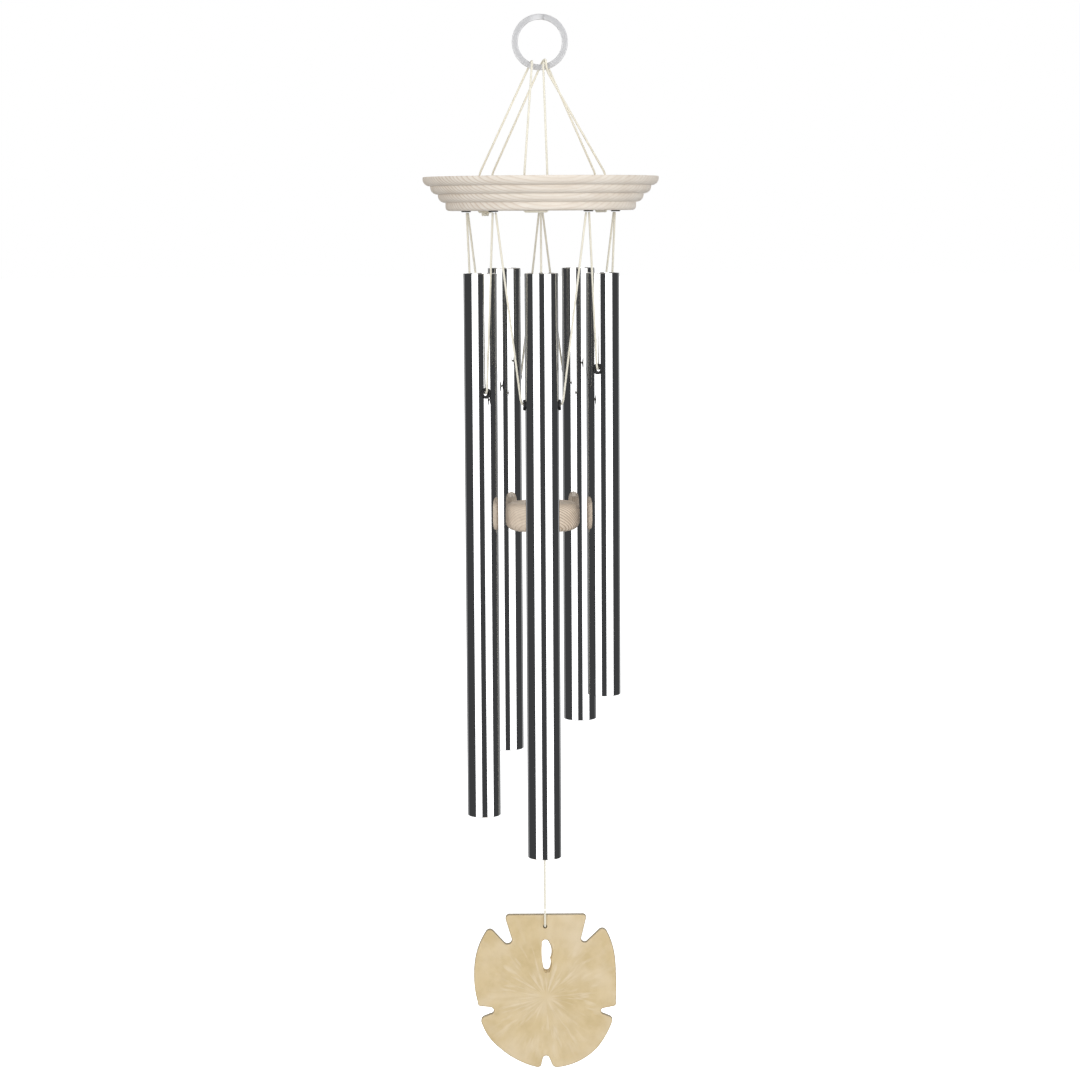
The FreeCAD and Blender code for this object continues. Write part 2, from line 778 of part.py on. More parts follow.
def sail():
    """The wind sail: a cast plate with a slot, and a hole near its top edge for the cord."""
    body = new_body("sail")
    sketch = new_sketch(body, "sail_outline", "XZ_Plane")
    curved_outline(sketch, SAIL_OUTLINE)
    pad = body.newObject("PartDesign::Pad", "sail_plate")
    pad.Profile = sketch
    pad.setExpression("Length", "Sizes.sail_thick")
    pad.Reversed = True
    doc.recompute()
    slot = new_sketch(body, "sail_slot_outline", "XZ_Plane")
    curved_outline(slot, SAIL_SLOT)
    cut_away(body, "sail_slot", slot)
    hole = rings(body, "sail_hole_place", "XZ_Plane", [("0", "0", "sail_hole_radius")])
    cut_away(body, "sail_hole", hole)
    body.setExpression("Placement.Base.y", cells("cord_radius + sail_gap"))
    body.setExpression("Placement.Base.z", "Sizes.sail_hole")
    return body


# ---------------------------------------------------------------- the whole chime


def check(things):
    """Stops the script if any object has failed or any sub-part isn't a valid solid."""
    for thing in doc.Objects:
        if {"Invalid", "Error"} & set(thing.State):
            raise RuntimeError(f"{thing.Label} failed: {thing.State}")
    for thing in things:
        shape = thing.Shape
        if shape.isNull() or not shape.isValid() or not shape.Solids:
            raise RuntimeError(f"{thing.Label} has no valid solid")


def build():
    """Makes every sub-part, then checks them all and writes each to its own file."""
    hanging_ring()
    crown_disc()
    crown_eyelets()
    hanger_cord()
    pair = grommet_pair()
    for name, angle in TUBES.items():
        tube(name, angle)
        grommets = made(f"grommets_{name}", pair.Shape.copy())
        place_round(grommets, angle, "tube_circle", f"top_{name} - drop_{name}")
        tube_cord(name, angle)
    tube_cord_knots()
    knot_on_axis("clapper_cord_knot", cells(CENTRE_KNOT))
    knot_on_axis("clapper_knot", f"{cells(CLAPPER_FOOT)} - {SINK} - Sizes.knot_gap")
    clapper_cord()
    clapper()
    sail_cord()
    sail_tie()
    sail()
    doc.recompute()
    check(NODES)
    os.makedirs("parts", exist_ok=True)
    for thing in NODES:
        thing.Shape.exportStep(f"parts/{thing.Label}.step")
        box = thing.Shape.BoundBox
        print(f"{thing.Label}: {len(thing.Shape.Solids)} solid(s), {thing.Shape.Volume:.1f} mm3,"
              f" z {box.ZMin:.1f} to {box.ZMax:.1f}")


build()
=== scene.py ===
"""The finished look of a five-tube wind chime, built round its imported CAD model.

Metres, +Z up, with the chime's front facing -Y. A place round the chime is an angle from the
front, anticlockwise seen from above, as in the CAD source.
"""
import logging
import math
from dataclasses import dataclass
from enum import Enum
from functools import reduce
from typing import Sequence

import bmesh
import bpy
import numpy as np
from mathutils import Matrix, Vector


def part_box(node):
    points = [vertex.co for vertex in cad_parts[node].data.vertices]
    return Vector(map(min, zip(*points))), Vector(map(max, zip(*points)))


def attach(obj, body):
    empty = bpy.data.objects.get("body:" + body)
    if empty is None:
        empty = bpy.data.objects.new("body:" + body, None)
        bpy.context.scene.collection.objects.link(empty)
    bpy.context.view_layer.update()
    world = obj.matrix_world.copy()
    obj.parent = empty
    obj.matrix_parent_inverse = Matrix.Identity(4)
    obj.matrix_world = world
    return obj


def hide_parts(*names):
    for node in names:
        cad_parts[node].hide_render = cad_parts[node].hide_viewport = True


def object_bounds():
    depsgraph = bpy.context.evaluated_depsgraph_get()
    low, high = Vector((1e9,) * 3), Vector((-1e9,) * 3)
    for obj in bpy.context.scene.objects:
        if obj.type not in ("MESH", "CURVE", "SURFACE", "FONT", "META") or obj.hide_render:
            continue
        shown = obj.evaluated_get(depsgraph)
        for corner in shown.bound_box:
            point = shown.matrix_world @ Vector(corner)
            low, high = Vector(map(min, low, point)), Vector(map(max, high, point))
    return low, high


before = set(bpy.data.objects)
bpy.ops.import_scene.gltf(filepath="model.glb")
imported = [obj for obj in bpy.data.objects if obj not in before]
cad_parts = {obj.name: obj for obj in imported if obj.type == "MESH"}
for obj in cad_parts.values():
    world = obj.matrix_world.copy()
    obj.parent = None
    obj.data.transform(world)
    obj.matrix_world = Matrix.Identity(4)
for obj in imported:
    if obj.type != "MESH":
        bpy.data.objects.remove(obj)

CAD_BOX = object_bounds()
MM = 0.001
FULL_TURN = 2 * math.pi
MERGE_GAP = 1e-6
ALL_SMOOTH = 180.0  # as an edge's angle: no edge of the piece stays crisp
X, Y, Z = (1, 0, 0), (0, 1, 0), (0, 0, 1)
log = logging.getLogger("wind_chime")

Colour = tuple[float, float, float]
Piece = bpy.types.Object
Material = bpy.types.Material
Socket = bpy.types.NodeSocket
Number = Socket | float

TUBE_ANGLES = {
    "front": 0, "left_front": -72, "left_back": -144, "right_back": 144, "right_front": 72,
}
HALF_STEP = 36
EYELET_ANGLES = [angle + HALF_STEP for angle in TUBE_ANGLES.values()]
EYELET_CIRCLE = 45.0
HOLE_IN_SAIL = -522.2 * MM
HANGER_HOLES = {
    # the crown's holes for the hanger cord, two to a pair, as x and y in millimetres
    "left_outer": (-35.50, 16.22), "left_inner": (-28.34, 26.84),
    "front_left": (-9.07, -37.96), "front_right": (3.70, -38.85),
    "right_inner": (31.80, 22.63), "right_outer": (37.41, 11.13),
}


class Side(Enum):
    """Which way along the tangent, for one who looks at the chime from outside."""

    LEFT = -1
    RIGHT = 1


class Cord(Enum):
    """How far a cord's weave stands out, as a part of its radius."""

    BRAID = 0.05
    KNOT = 0.07


# ---- shapes


@dataclass
class Patch:
    """A surface over a grid of two parameters, with its seams and poles as repeated points.

    points is (rows, columns, 3) and uv (rows, columns, 2). tone is a number that a finish reads;
    the braid's and the sail's finishes paint shade with it.
    """

    points: np.ndarray
    uv: np.ndarray | None = None
    tone: np.ndarray | None = None


def around(angle: float, distance: float, z: float = 0.0) -> np.ndarray:
    """The point at an angle in degrees from the front and a distance from the axis."""
    a = math.radians(angle)
    return np.array([distance * math.sin(a), -distance * math.cos(a), z])


def turned_to(points: np.ndarray, angle: float) -> np.ndarray:
    """Points turned about Z by an angle in degrees."""
    a = math.radians(angle)
    turn = np.array([[math.cos(a), -math.sin(a), 0], [math.sin(a), math.cos(a), 0], [0, 0, 1]])
    return points @ turn.T


def centre_of(node: str) -> Vector:
    """The middle of a CAD node's box."""
    low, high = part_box(node)
    return (low + high) / 2


def built(name: str, patches: Sequence[Patch], sharp: float = 40.0) -> Piece:
    """Joins patches into one closed mesh object at the origin.

    Args:
        name: the piece's name.
        patches: its surfaces, whose repeated points are merged.
        sharp: the angle in degrees past which an edge stays crisp.

    Returns:
        The new object, linked to the scene.
    """
    corners, quads, uvs, tones, start = [], [], [], [], 0
    for patch in patches:
        rows, columns, _ = patch.points.shape
        index = np.arange(rows * columns).reshape(rows, columns) + start
        quad = np.stack([index[:-1, :-1], index[:-1, 1:], index[1:, 1:], index[1:, :-1]], axis=-1)
        uv = patch.uv if patch.uv is not None else np.zeros((rows, columns, 2))
        tone = patch.tone if patch.tone is not None else np.zeros((rows, columns))
        corners.append(patch.points.reshape(-1, 3))
        quads.append(quad.reshape(-1, 4))
        uvs.append(uv.reshape(-1, 2))
        tones.append(tone.reshape(-1))
        start += rows * columns
    faces = np.concatenate(quads)
    mesh = bpy.data.meshes.new(name)
    mesh.from_pydata(np.concatenate(corners), [], faces.tolist())
    layer, tone = mesh.uv_layers.new(name="UVMap"), mesh.attributes.new("tone", "FLOAT", "POINT")
    layer.data.foreach_set("uv", np.concatenate(uvs)[faces.ravel()].ravel())
    tone.data.foreach_set("value", np.concatenate(tones))
    shell = bmesh.new()
    shell.from_mesh(mesh)
    bmesh.ops.remove_doubles(shell, verts=shell.verts, dist=MERGE_GAP)
    bmesh.ops.recalc_face_normals(shell, faces=shell.faces)
    shell.to_mesh(mesh)
    shell.free()
    mesh.polygons.foreach_set("use_smooth", np.ones(len(mesh.polygons), bool))
    mesh.set_sharp_from_angle(angle=math.radians(sharp))
    piece = bpy.data.objects.new(name, mesh)
    bpy.context.scene.collection.objects.link(piece)
    return piece


def lathed(profile: np.ndarray, steps: int) -> np.ndarray:
    """A profile of (radius, height) points turned about Z: (r cos a, r sin a, h), a once round."""
    a = np.linspace(0, FULL_TURN, steps + 1)
    radius, height = profile[:, 0][:, None], profile[:, 1][:, None]
    return np.stack([radius * np.cos(a), radius * np.sin(a), height + 0 * a], axis=-1)


def arc(centre: tuple[float, float], radius: float, start: float, end: float) -> np.ndarray:
    """Seven points on a circle's arc, from one angle to another in degrees."""
    a = np.radians(np.linspace(start, end, 7))
    return np.stack([centre[0] + radius * np.cos(a), centre[1] + radius * np.sin(a)], axis=-1)


def along(a: Sequence[float], b: Sequence[float], distance: float) -> tuple[float, ...]:
    """The point that far from a towards b."""
    start, end = np.array(a, float), np.array(b, float)
    return tuple(start + (end - start) * (distance / np.linalg.norm(end - start)))


def smooth_line(route: Sequence[Sequence[float]]) -> np.ndarray:
    """Points along the smooth curve that a route's points control.

    Args:
        route: control points of a quadratic NURBS curve, in metres.

    Returns:
        Points along it, shape (n, 3).
    """
    curve = bpy.data.curves.new("route", "CURVE")
    curve.dimensions = "3D"
    curve.resolution_u = 24
    spline = curve.splines.new("NURBS")
    spline.points.add(len(route) - 1)
    spline.points.foreach_set("co", np.column_stack([np.array(route), np.ones(len(route))]).ravel())
    spline.order_u = 3
    spline.use_endpoint_u = True
    holder = bpy.data.objects.new("route", curve)
    line = bpy.data.meshes.new_from_object(holder)
    points = np.zeros(len(line.vertices) * 3)
    line.vertices.foreach_get("co", points)
    bpy.data.objects.remove(holder)
    bpy.data.curves.remove(curve)
    bpy.data.meshes.remove(line)
    return points.reshape(-1, 3)


def evenly(line: np.ndarray, step: float) -> tuple[np.ndarray, np.ndarray]:
    """The line's points spaced evenly, about a step apart, and each one's distance along it."""
    gaps = np.linalg.norm(np.diff(line, axis=0), axis=1)
    reached = np.concatenate([[0.0], np.cumsum(gaps)])
    wanted = np.linspace(0, reached[-1], max(8, int(round(reached[-1] / step))) + 1)
    spaced = np.stack([np.interp(wanted, reached, line[:, k]) for k in range(3)], axis=-1)
    return spaced, wanted


@dataclass
class BraidedCord:
    """A round cord of eight plaited strands: four wind each way and pass over and under."""

    radius: float = 0.6 * MM
    strands_each_way: int = 4
    plait: float = 1.35 * MM
    step: float = 0.27 * MM
    sides: int = 16

    def laid(self, route: Sequence[Sequence[float]], reference: Sequence[float]) -> Patch:
        """The cord's surface round the smooth curve that a route's points control."""
        return self.carried(smooth_line(route), reference)

    def carried(
        self, line: np.ndarray, reference: Sequence[float], weave: Cord = Cord.BRAID,
        closed: bool = False,
    ) -> Patch:
        """The cord's surface round a line.

        With s the distance along and v the angle round it, the strands are the ridges of
        cos(n v + k s) and of cos(n v - k s). The radius is r (1 - depth + depth h), where h is
        the higher of the two ridges, each weighed by which of them is on top there. The ends are
        rounded in over a radius. Across the line stand the two directions that are square to its
        heading, the first of them also square to the reference.

        Args:
            line: the points that it follows.
            reference: a direction that the line never heads in.
            weave: how deep the plait is.
            closed: whether the line is a ring without ends.

        Returns:
            The surface, its uv the plaits along and the turns round, its tone the weave's height.
        """
        spine, s = evenly(line, self.step)
        heading = np.gradient(spine, axis=0)
        if closed:
            heading[0] = heading[-1] = spine[1] - spine[-2]
        heading /= np.linalg.norm(heading, axis=1)[:, None]
        across = np.cross(heading, np.array(reference, float))
        across /= np.linalg.norm(across, axis=1)[:, None]
        upright = np.cross(across, heading)
        v = np.linspace(0, FULL_TURN, self.sides + 1)[None, :]
        turns = round(s[-1] / self.plait) if closed else s[-1] / self.plait
        k = FULL_TURN * turns / s[-1] * s[:, None]
        one = np.cos(self.strands_each_way * v + k)
        other = np.cos(self.strands_each_way * v - k)
        over = 0.5 + 0.5 * np.sin(self.strands_each_way * v) * np.sign(np.cos(k))
        height = np.maximum(one * (0.55 + 0.45 * over), other * (1.0 - 0.45 * over)) * 0.5 + 0.5
        depth = weave.value
        radius = self.radius * (1 - depth + depth * height)
        if not closed:
            near_end = np.minimum(s, s[-1] - s) / self.radius
            radius = radius * np.sqrt(1 - (1 - np.clip(near_end, 0, 1)) ** 2)[:, None]
        points = (
            spine[:, None, :]
            + across[:, None, :] * (radius * np.cos(v))[..., None]
            + upright[:, None, :] * (radius * np.sin(v))[..., None]
        )
        uv = np.stack(np.broadcast_arrays(s[:, None] / self.plait, v / FULL_TURN), axis=-1)
        return Patch(points, uv, height)

    def knot(self, centre: np.ndarray, axis: Sequence[float], across: float, tall: float) -> Patch:
        """An overhand knot pulled tight: the cord round a trefoil.

        The trefoil is ((2 + cos 3t) cos 2t, (2 + cos 3t) sin 2t, c sin 3t), scaled so that the
        knot is as wide and as tall as asked, and set with its own axis along the given one.

        Args:
            centre: its middle.
            axis: the way the cord runs through it.
            across: half its width.
            tall: half its height.

        Returns:
            The surface.
        """
        t = np.linspace(0, FULL_TURN, 241)
        wide = (across - self.radius) / 3
        high = tall - self.radius
        flat = np.stack(
            [wide * (2 + np.cos(3 * t)) * np.cos(2 * t), wide * (2 + np.cos(3 * t)) * np.sin(2 * t),
             high * np.sin(3 * t)], axis=-1,
        )
        turn = np.array(Vector((0, 0, 1)).rotation_difference(Vector(axis)).to_matrix())
        return self.carried(flat @ turn.T + centre, axis, Cord.KNOT, closed=True)


# ---- finishes


class Recipe:
    """A material's nodes, with short ways to add and join them."""

    def __init__(self, name: str) -> None:
        """Starts a material of that name."""
        self.material = bpy.data.materials.new(name)
        self.material.use_nodes = True
        self.tree = self.material.node_tree
        self.shader = self.tree.nodes["Principled BSDF"]

    def add(self, kind: str, values: dict | None = None, **settings: object) -> bpy.types.Node:
        """Adds a node.

        Args:
            kind: its type, without the common start of the name.
            values: what goes into each input, by name or place: a socket to join, or a value.
            **settings: the node's own properties.

        Returns:
            The node.
        """
        node = self.tree.nodes.new("ShaderNode" + kind)
        for key, value in settings.items():
            setattr(node, key, value)
        for key, value in (values or {}).items():
            self.feed(node.inputs[key], value)
        return node

    def feed(self, entry: Socket, value: object) -> None:
        """Joins a socket to an input, or sets the input to a value."""
        if isinstance(value, Socket):
            self.tree.links.new(value, entry)
        else:
            entry.default_value = value

    def place(self, output: str = "Object") -> Socket:
        """The coordinates of a point."""
        return self.add("TexCoord").outputs[output]

    def tone(self) -> Socket:
        """The number that a piece's mesh holds for each point, which the braid and sail finishes
        use as a mask for painted shade.
        """
        return self.add("Attribute", attribute_name="tone").outputs["Fac"]

    def calc(self, kind: str, a: Number, b: Number = 0.0, c: Number = 0.0) -> Socket:
        """One step of arithmetic on numbers."""
        return self.add("Math", {0: a, 1: b, 2: c}, operation=kind).outputs[0]

    def product(self, *factors: Number) -> Socket:
        """The factors multiplied."""
        return reduce(lambda a, b: self.calc("MULTIPLY", a, b), factors)

    def stretched(
        self, vector: Socket, scale: Sequence[float], turn: Sequence[float] = (0, 0, 0),
    ) -> Socket:
        """Coordinates turned by angles in degrees and then scaled along each axis."""
        values = {"Vector": vector, "Rotation": [math.radians(x) for x in turn]}
        turned = self.add("Mapping", values).outputs[0]
        return self.add("Mapping", {"Vector": turned, "Scale": scale}).outputs[0]

    def noise(
        self, vector: Socket, scale: float, detail: float = 3.0, rough: float = 0.55,
    ) -> Socket:
        """Soft random noise, from 0 to 1."""
        values = {"Vector": vector, "Scale": scale, "Detail": detail, "Roughness": rough}
        return self.add("TexNoise", values).outputs["Fac"]

    def grain(self, draw: float, scale: float, detail: float, rough: float = 0.55) -> Socket:
        """Noise that is drawn out along the grain, X, the more the nearer draw is to 0."""
        return self.noise(self.stretched(self.place(), (draw, 1, 1)), scale, detail, rough)

    def range_of(
        self, value: Socket, low: float, high: float, to_low: float = 0.0, to_high: float = 1.0,
    ) -> Socket:
        """A value moved smoothly from one range to another and held at its ends."""
        values = {"Value": value, 1: low, 2: high, 3: to_low, 4: to_high}
        return self.add("MapRange", values, interpolation_type="SMOOTHSTEP").outputs[0]

    def mixed(
        self, factor: Number, a: Socket | Colour, b: Socket | Colour, blend: str = "MIX",
    ) -> Socket:
        """Two colours mixed by a factor."""
        node = self.add("Mix", {0: factor}, data_type="RGBA", blend_type=blend)
        for key, value in ((6, a), (7, b)):
            self.feed(node.inputs[key], value if isinstance(value, Socket) else (*value, 1.0))
        return node.outputs[2]

    def glazed(self, colour: Socket, *coats: tuple[Socket, float, Colour]) -> Socket:
        """A colour under coats, each a pattern from 0 to 1, how much it covers, and its colour."""
        for pattern, cover, tint in coats:
            colour = self.mixed(self.product(pattern, cover), colour, tint)
        return colour

    def relief(self, height: Socket, depth: float, strength: float) -> Socket:
        """A bump of that depth in metres."""
        values = {"Height": height, "Distance": depth, "Strength": strength}
        return self.add("Bump", values).outputs[0]

    def finished(self, **inputs: object) -> Material:
        """Sets the shader's inputs, by their keys in INPUT_NAMES, and returns the material."""
        for key, value in inputs.items():
            self.feed(self.shader.inputs[INPUT_NAMES[key]], value)
        return self.material


INPUT_NAMES = {
    "colour": "Base Color", "metallic": "Metallic", "roughness": "Roughness", "normal": "Normal",
    "gloss": "Specular IOR Level", "sheen": "Sheen Weight", "sheen_roughness": "Sheen Roughness",
    "glow": "Emission Color", "glow_strength": "Emission Strength",
}


@dataclass(frozen=True)
class TurnedWood:
    """Pale ash or oak, turned and sanded.

    The yearly rings are planes square to the lean, a year apart and bent by slow noise; where a
    turned face cuts them they show as lines. Pores are short dark dashes along the grain, X.
    """

    name: str
    pale: Colour
    dark: Colour
    lean: tuple[float, float, float]
    year: float
    strong_side: float
    warm: Colour = (0.97, 0.93, 0.88)

    def made(self) -> Material:
        """The material."""
        r = Recipe(self.name)
        place = r.place()
        across = r.add("VectorMath", {0: place, 1: self.lean}, operation="DOT_PRODUCT")
        wander = r.grain(0.25, 40.0, 2.0)
        bent = r.calc("MULTIPLY_ADD", wander, 2.6 * self.year, across.outputs["Value"])
        phase = r.calc("FRACT", r.calc("DIVIDE", bent, self.year))
        line = r.product(r.range_of(phase, 0.45, 0.93), r.range_of(phase, 0.93, 1.0, 1.0, 0.0))
        x = r.add("SeparateXYZ", {0: place}).outputs["X"]
        side = r.range_of(r.product(x, self.strong_side), -0.2, 1.0, 0.35, 1.0)
        uneven = r.range_of(r.grain(0.2, 26.0, 2.0), 0.35, 0.7, 0.7, 1.0)
        fine = r.grain(0.05, 900.0, 2.0, 0.7)
        pores = r.range_of(r.grain(0.12, 1600.0, 1.0), 0.66, 0.76)
        patches = r.range_of(r.grain(0.5, 18.0, 3.0), 0.35, 0.7, 0.0, 0.5)
        streaks = r.range_of(r.grain(0.04, 190.0, 3.0), 0.35, 0.75)
        colour = r.mixed(r.product(line, side, uneven), self.pale, self.dark)
        colour = r.mixed(patches, colour, self.warm, "MULTIPLY")
        coats = ((streaks, 0.26), (fine, 0.10), (pores, 0.30))
        colour = r.glazed(colour, *((*coat, self.dark) for coat in coats))
        height = r.calc("SUBTRACT", r.product(fine, 0.5), r.calc("MAXIMUM", pores, line))
        return r.finished(
            colour=colour, roughness=r.range_of(fine, 0.3, 0.7, 0.52, 0.66), gloss=0.35,
            normal=r.relief(height, 0.06 * MM, 0.55),
        )


@dataclass(frozen=True)
class PolishedTube:
    """Drawn aluminium, polished along its length: a mirror with faint draw lines and hairlines.

    The sawn ends are duller than the wall. A faint cloudiness tints it here and there.
    """

    name: str = "polished_aluminium"
    colour: Colour = (0.86, 0.865, 0.87)
    cloud: Colour = (0.72, 0.73, 0.76)

    def made(self) -> Material:
        """The material."""
        r = Recipe(self.name)
        place = r.place()
        lines = r.noise(r.stretched(place, (1, 1, 0.004)), 700.0, 1.0, 0.5)
        slanted = r.stretched(place, (1, 1, 0.02), (3, 2, 0))
        hair = r.range_of(r.noise(slanted, 900.0, 1.0), 0.70, 0.78)
        smears = r.noise(place, 24.0, 3.0)
        up = r.add("SeparateXYZ", {0: r.add("NewGeometry").outputs["Normal"]}).outputs["Z"]
        end = r.range_of(r.calc("ABSOLUTE", up), 0.5, 0.8)
        rough = 0.02
        for mark, weight in ((smears, 0.03), (lines, 0.01), (hair, 0.02), (end, 0.22)):
            rough = r.calc("MULTIPLY_ADD", mark, weight, rough)
        return r.finished(
            colour=r.mixed(r.range_of(smears, 0.3, 0.7, 0.0, 0.12), self.colour, self.cloud),
            metallic=1.0, roughness=rough, normal=r.relief(lines, 0.0002 * MM, 0.05),
        )


@dataclass(frozen=True)
class SatinNickel:
    """Nickel plate on spring steel, tumbled to a satin, with fine marks from the wire's rolling."""

    name: str = "satin_nickel"
    colour: Colour = (0.76, 0.76, 0.77)
    cloud: Colour = (0.69, 0.69, 0.705)

    def made(self) -> Material:
        """The material."""
        r = Recipe(self.name)
        place, run = r.place(), r.place("UV")
        rolled = r.noise(r.stretched(run, (0.02, 1.0, 1)), 10.0, 2.0, 0.6)
        cloudy = r.noise(place, 90.0, 3.0)
        return r.finished(
            colour=r.mixed(r.range_of(cloudy, 0.35, 0.7, 0.0, 0.4), self.colour, self.cloud),
            metallic=0.6, roughness=r.calc("MULTIPLY_ADD", cloudy, 0.1, 0.45),
            normal=r.relief(rolled, 0.002 * MM, 0.3),
        )


@dataclass(frozen=True)
class BlackRubber:
    """Moulded black rubber: a dull sheen, a little dust, and a fine mould grain."""

    name: str = "black_rubber"
    clean: Colour = (0.010, 0.010, 0.011)
    dusty: Colour = (0.035, 0.034, 0.033)

    def made(self) -> Material:
        """The material."""
        r = Recipe(self.name)
        place = r.place()
        dust = r.range_of(r.noise(place, 700.0, 4.0), 0.5, 0.8)
        grain = r.noise(place, 5200.0, 2.0)
        return r.finished(
            colour=r.mixed(dust, self.clean, self.dusty), gloss=0.45,
            roughness=r.calc("MULTIPLY_ADD", dust, 0.25, 0.38),
            normal=r.relief(grain, 0.02 * MM, 0.4),
        )


@dataclass(frozen=True)
class CreamBraid:
    """Cream polyester braid: painted shade in the valleys between strands leaves each strand's top
    paler; fine fibres run along the strands.
    """

    name: str = "cream_braid"
    top: Colour = (0.88, 0.84, 0.72)
    # painted shade for the valleys between strands
    valley_shade: Colour = (0.68, 0.63, 0.49)
    soiled: Colour = (0.94, 0.90, 0.80)

    def made(self) -> Material:
        """The material."""
        r = Recipe(self.name)
        uv = r.place("UV")
        fibres = r.noise(r.stretched(uv, (1.2, 26.0, 1), (0, 0, 12)), 3.0, 2.0, 0.7)
        soil = r.noise(r.place(), 55.0, 3.0)
        # painted shade: the weave's height, read from tone, darkens the valleys between strands
        high = r.calc("MULTIPLY_ADD", r.calc("SUBTRACT", fibres, 0.5), 0.35, r.tone())
        colour = r.mixed(r.range_of(high, 0.1, 0.75), self.valley_shade, self.top)
        colour = r.mixed(r.range_of(soil, 0.5, 0.8, 0.0, 0.3), colour, self.soiled, "MULTIPLY")
        return r.finished(
            colour=colour, roughness=r.range_of(fibres, 0.2, 0.8, 0.62, 0.82), sheen=0.25,
            sheen_roughness=0.5, normal=r.relief(fibres, 0.03 * MM, 0.5), gloss=0.3,
        )


@dataclass(frozen=True)
class SandResin:
    """Cast resin, sand coloured, with paler veins that spread from the middle like a sea star's.

    The veins are noise over direction from the middle, so that they run outwards, and fade with
    distance. tone is 1 on the plate's edge and on the walls of its cuts, which get painted shade.
    """

    middle: tuple[float, float, float]
    name: str = "sand_resin"
    sand: Colour = (0.700, 0.555, 0.325)
    pale: Colour = (0.78, 0.655, 0.475)
    deep: Colour = (0.600, 0.460, 0.240)
    # painted shade for the rounded edge and the cut walls; also the pits' own dark colour
    pits_and_edge_shade: Colour = (0.30, 0.25, 0.17)

    def made(self) -> Material:
        """The material."""
        r = Recipe(self.name)
        place = r.place()
        out = r.add("VectorMath", {0: place, 1: self.middle}, operation="SUBTRACT").outputs[0]
        flat = r.add("VectorMath", {0: out, 1: (1, 0, 1)}, operation="MULTIPLY").outputs[0]
        far = r.add("VectorMath", {0: flat}, operation="LENGTH").outputs["Value"]
        way = r.add("VectorMath", {0: flat}, operation="NORMALIZE").outputs[0]
        bend = r.add("CombineXYZ", {"Y": r.product(far, 8.0)}).outputs[0]
        ray = r.add("VectorMath", {0: way, 1: bend}, operation="ADD").outputs[0]
        fade = r.product(r.range_of(far, 0.001, 0.006), r.range_of(far, 0.024, 0.040, 1.0, 0.25))
        broad = r.product(r.range_of(r.noise(ray, 5.0, 2.0, 0.5), 0.42, 0.66), fade)
        fine = r.product(r.range_of(r.noise(ray, 9.0, 2.0, 0.5), 0.50, 0.72), fade)
        patch = r.noise(place, 75.0, 4.0, 0.6)
        cloud = r.range_of(r.noise(place, 34.0), 0.4, 0.7)
        speck = r.noise(place, 1300.0, 2.0)
        pits = r.range_of(r.noise(place, 2600.0, 1.0), 0.70, 0.78)
        colour = r.glazed(
            r.mixed(r.range_of(patch, 0.35, 0.7), self.sand, self.deep), (cloud, 0.7, self.pale),
            (broad, 0.35, self.deep), (fine, 0.75, self.pale), (speck, 0.16, self.deep),
            # the pits are real dark marks; the edge and cut walls, by tone, are painted shade
            (pits, 0.4, self.pits_and_edge_shade), (r.range_of(r.tone(), 0.45, 1.0), 0.75, self.pits_and_edge_shade),
        )
        height = r.calc("SUBTRACT", r.product(fine, 0.7), pits)
        return r.finished(
            colour=colour, roughness=r.range_of(patch, 0.3, 0.7, 0.50, 0.62), gloss=0.4,
            normal=r.relief(r.calc("ADD", height, patch), 0.08 * MM, 0.6),
        )


def redress(node: str, material: Material) -> None:
    """Gives a CAD node that stays a better material."""
    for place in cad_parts[node].material_slots:
        place.material = material
    log.info("finished %s", node)


def settled(
    piece: Piece, material: Material, slot: str, body: str, *nodes: str,
) -> Piece:
    """Dresses a new piece, makes it move with a body, and puts it in the place of CAD nodes.

    Args:
        piece: the new piece.
        material: its one material.
        slot: the finish that the material stands for; not used.
        body: what it moves with.
        *nodes: the CAD nodes that it replaces.

    Returns:
        The same piece.
    """
    piece.data.materials.clear()
    piece.data.materials.append(material)
    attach(piece, body)
    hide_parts(*nodes)
    log.info("built %s on %s", piece.name, body)
    return piece


# ---- studio


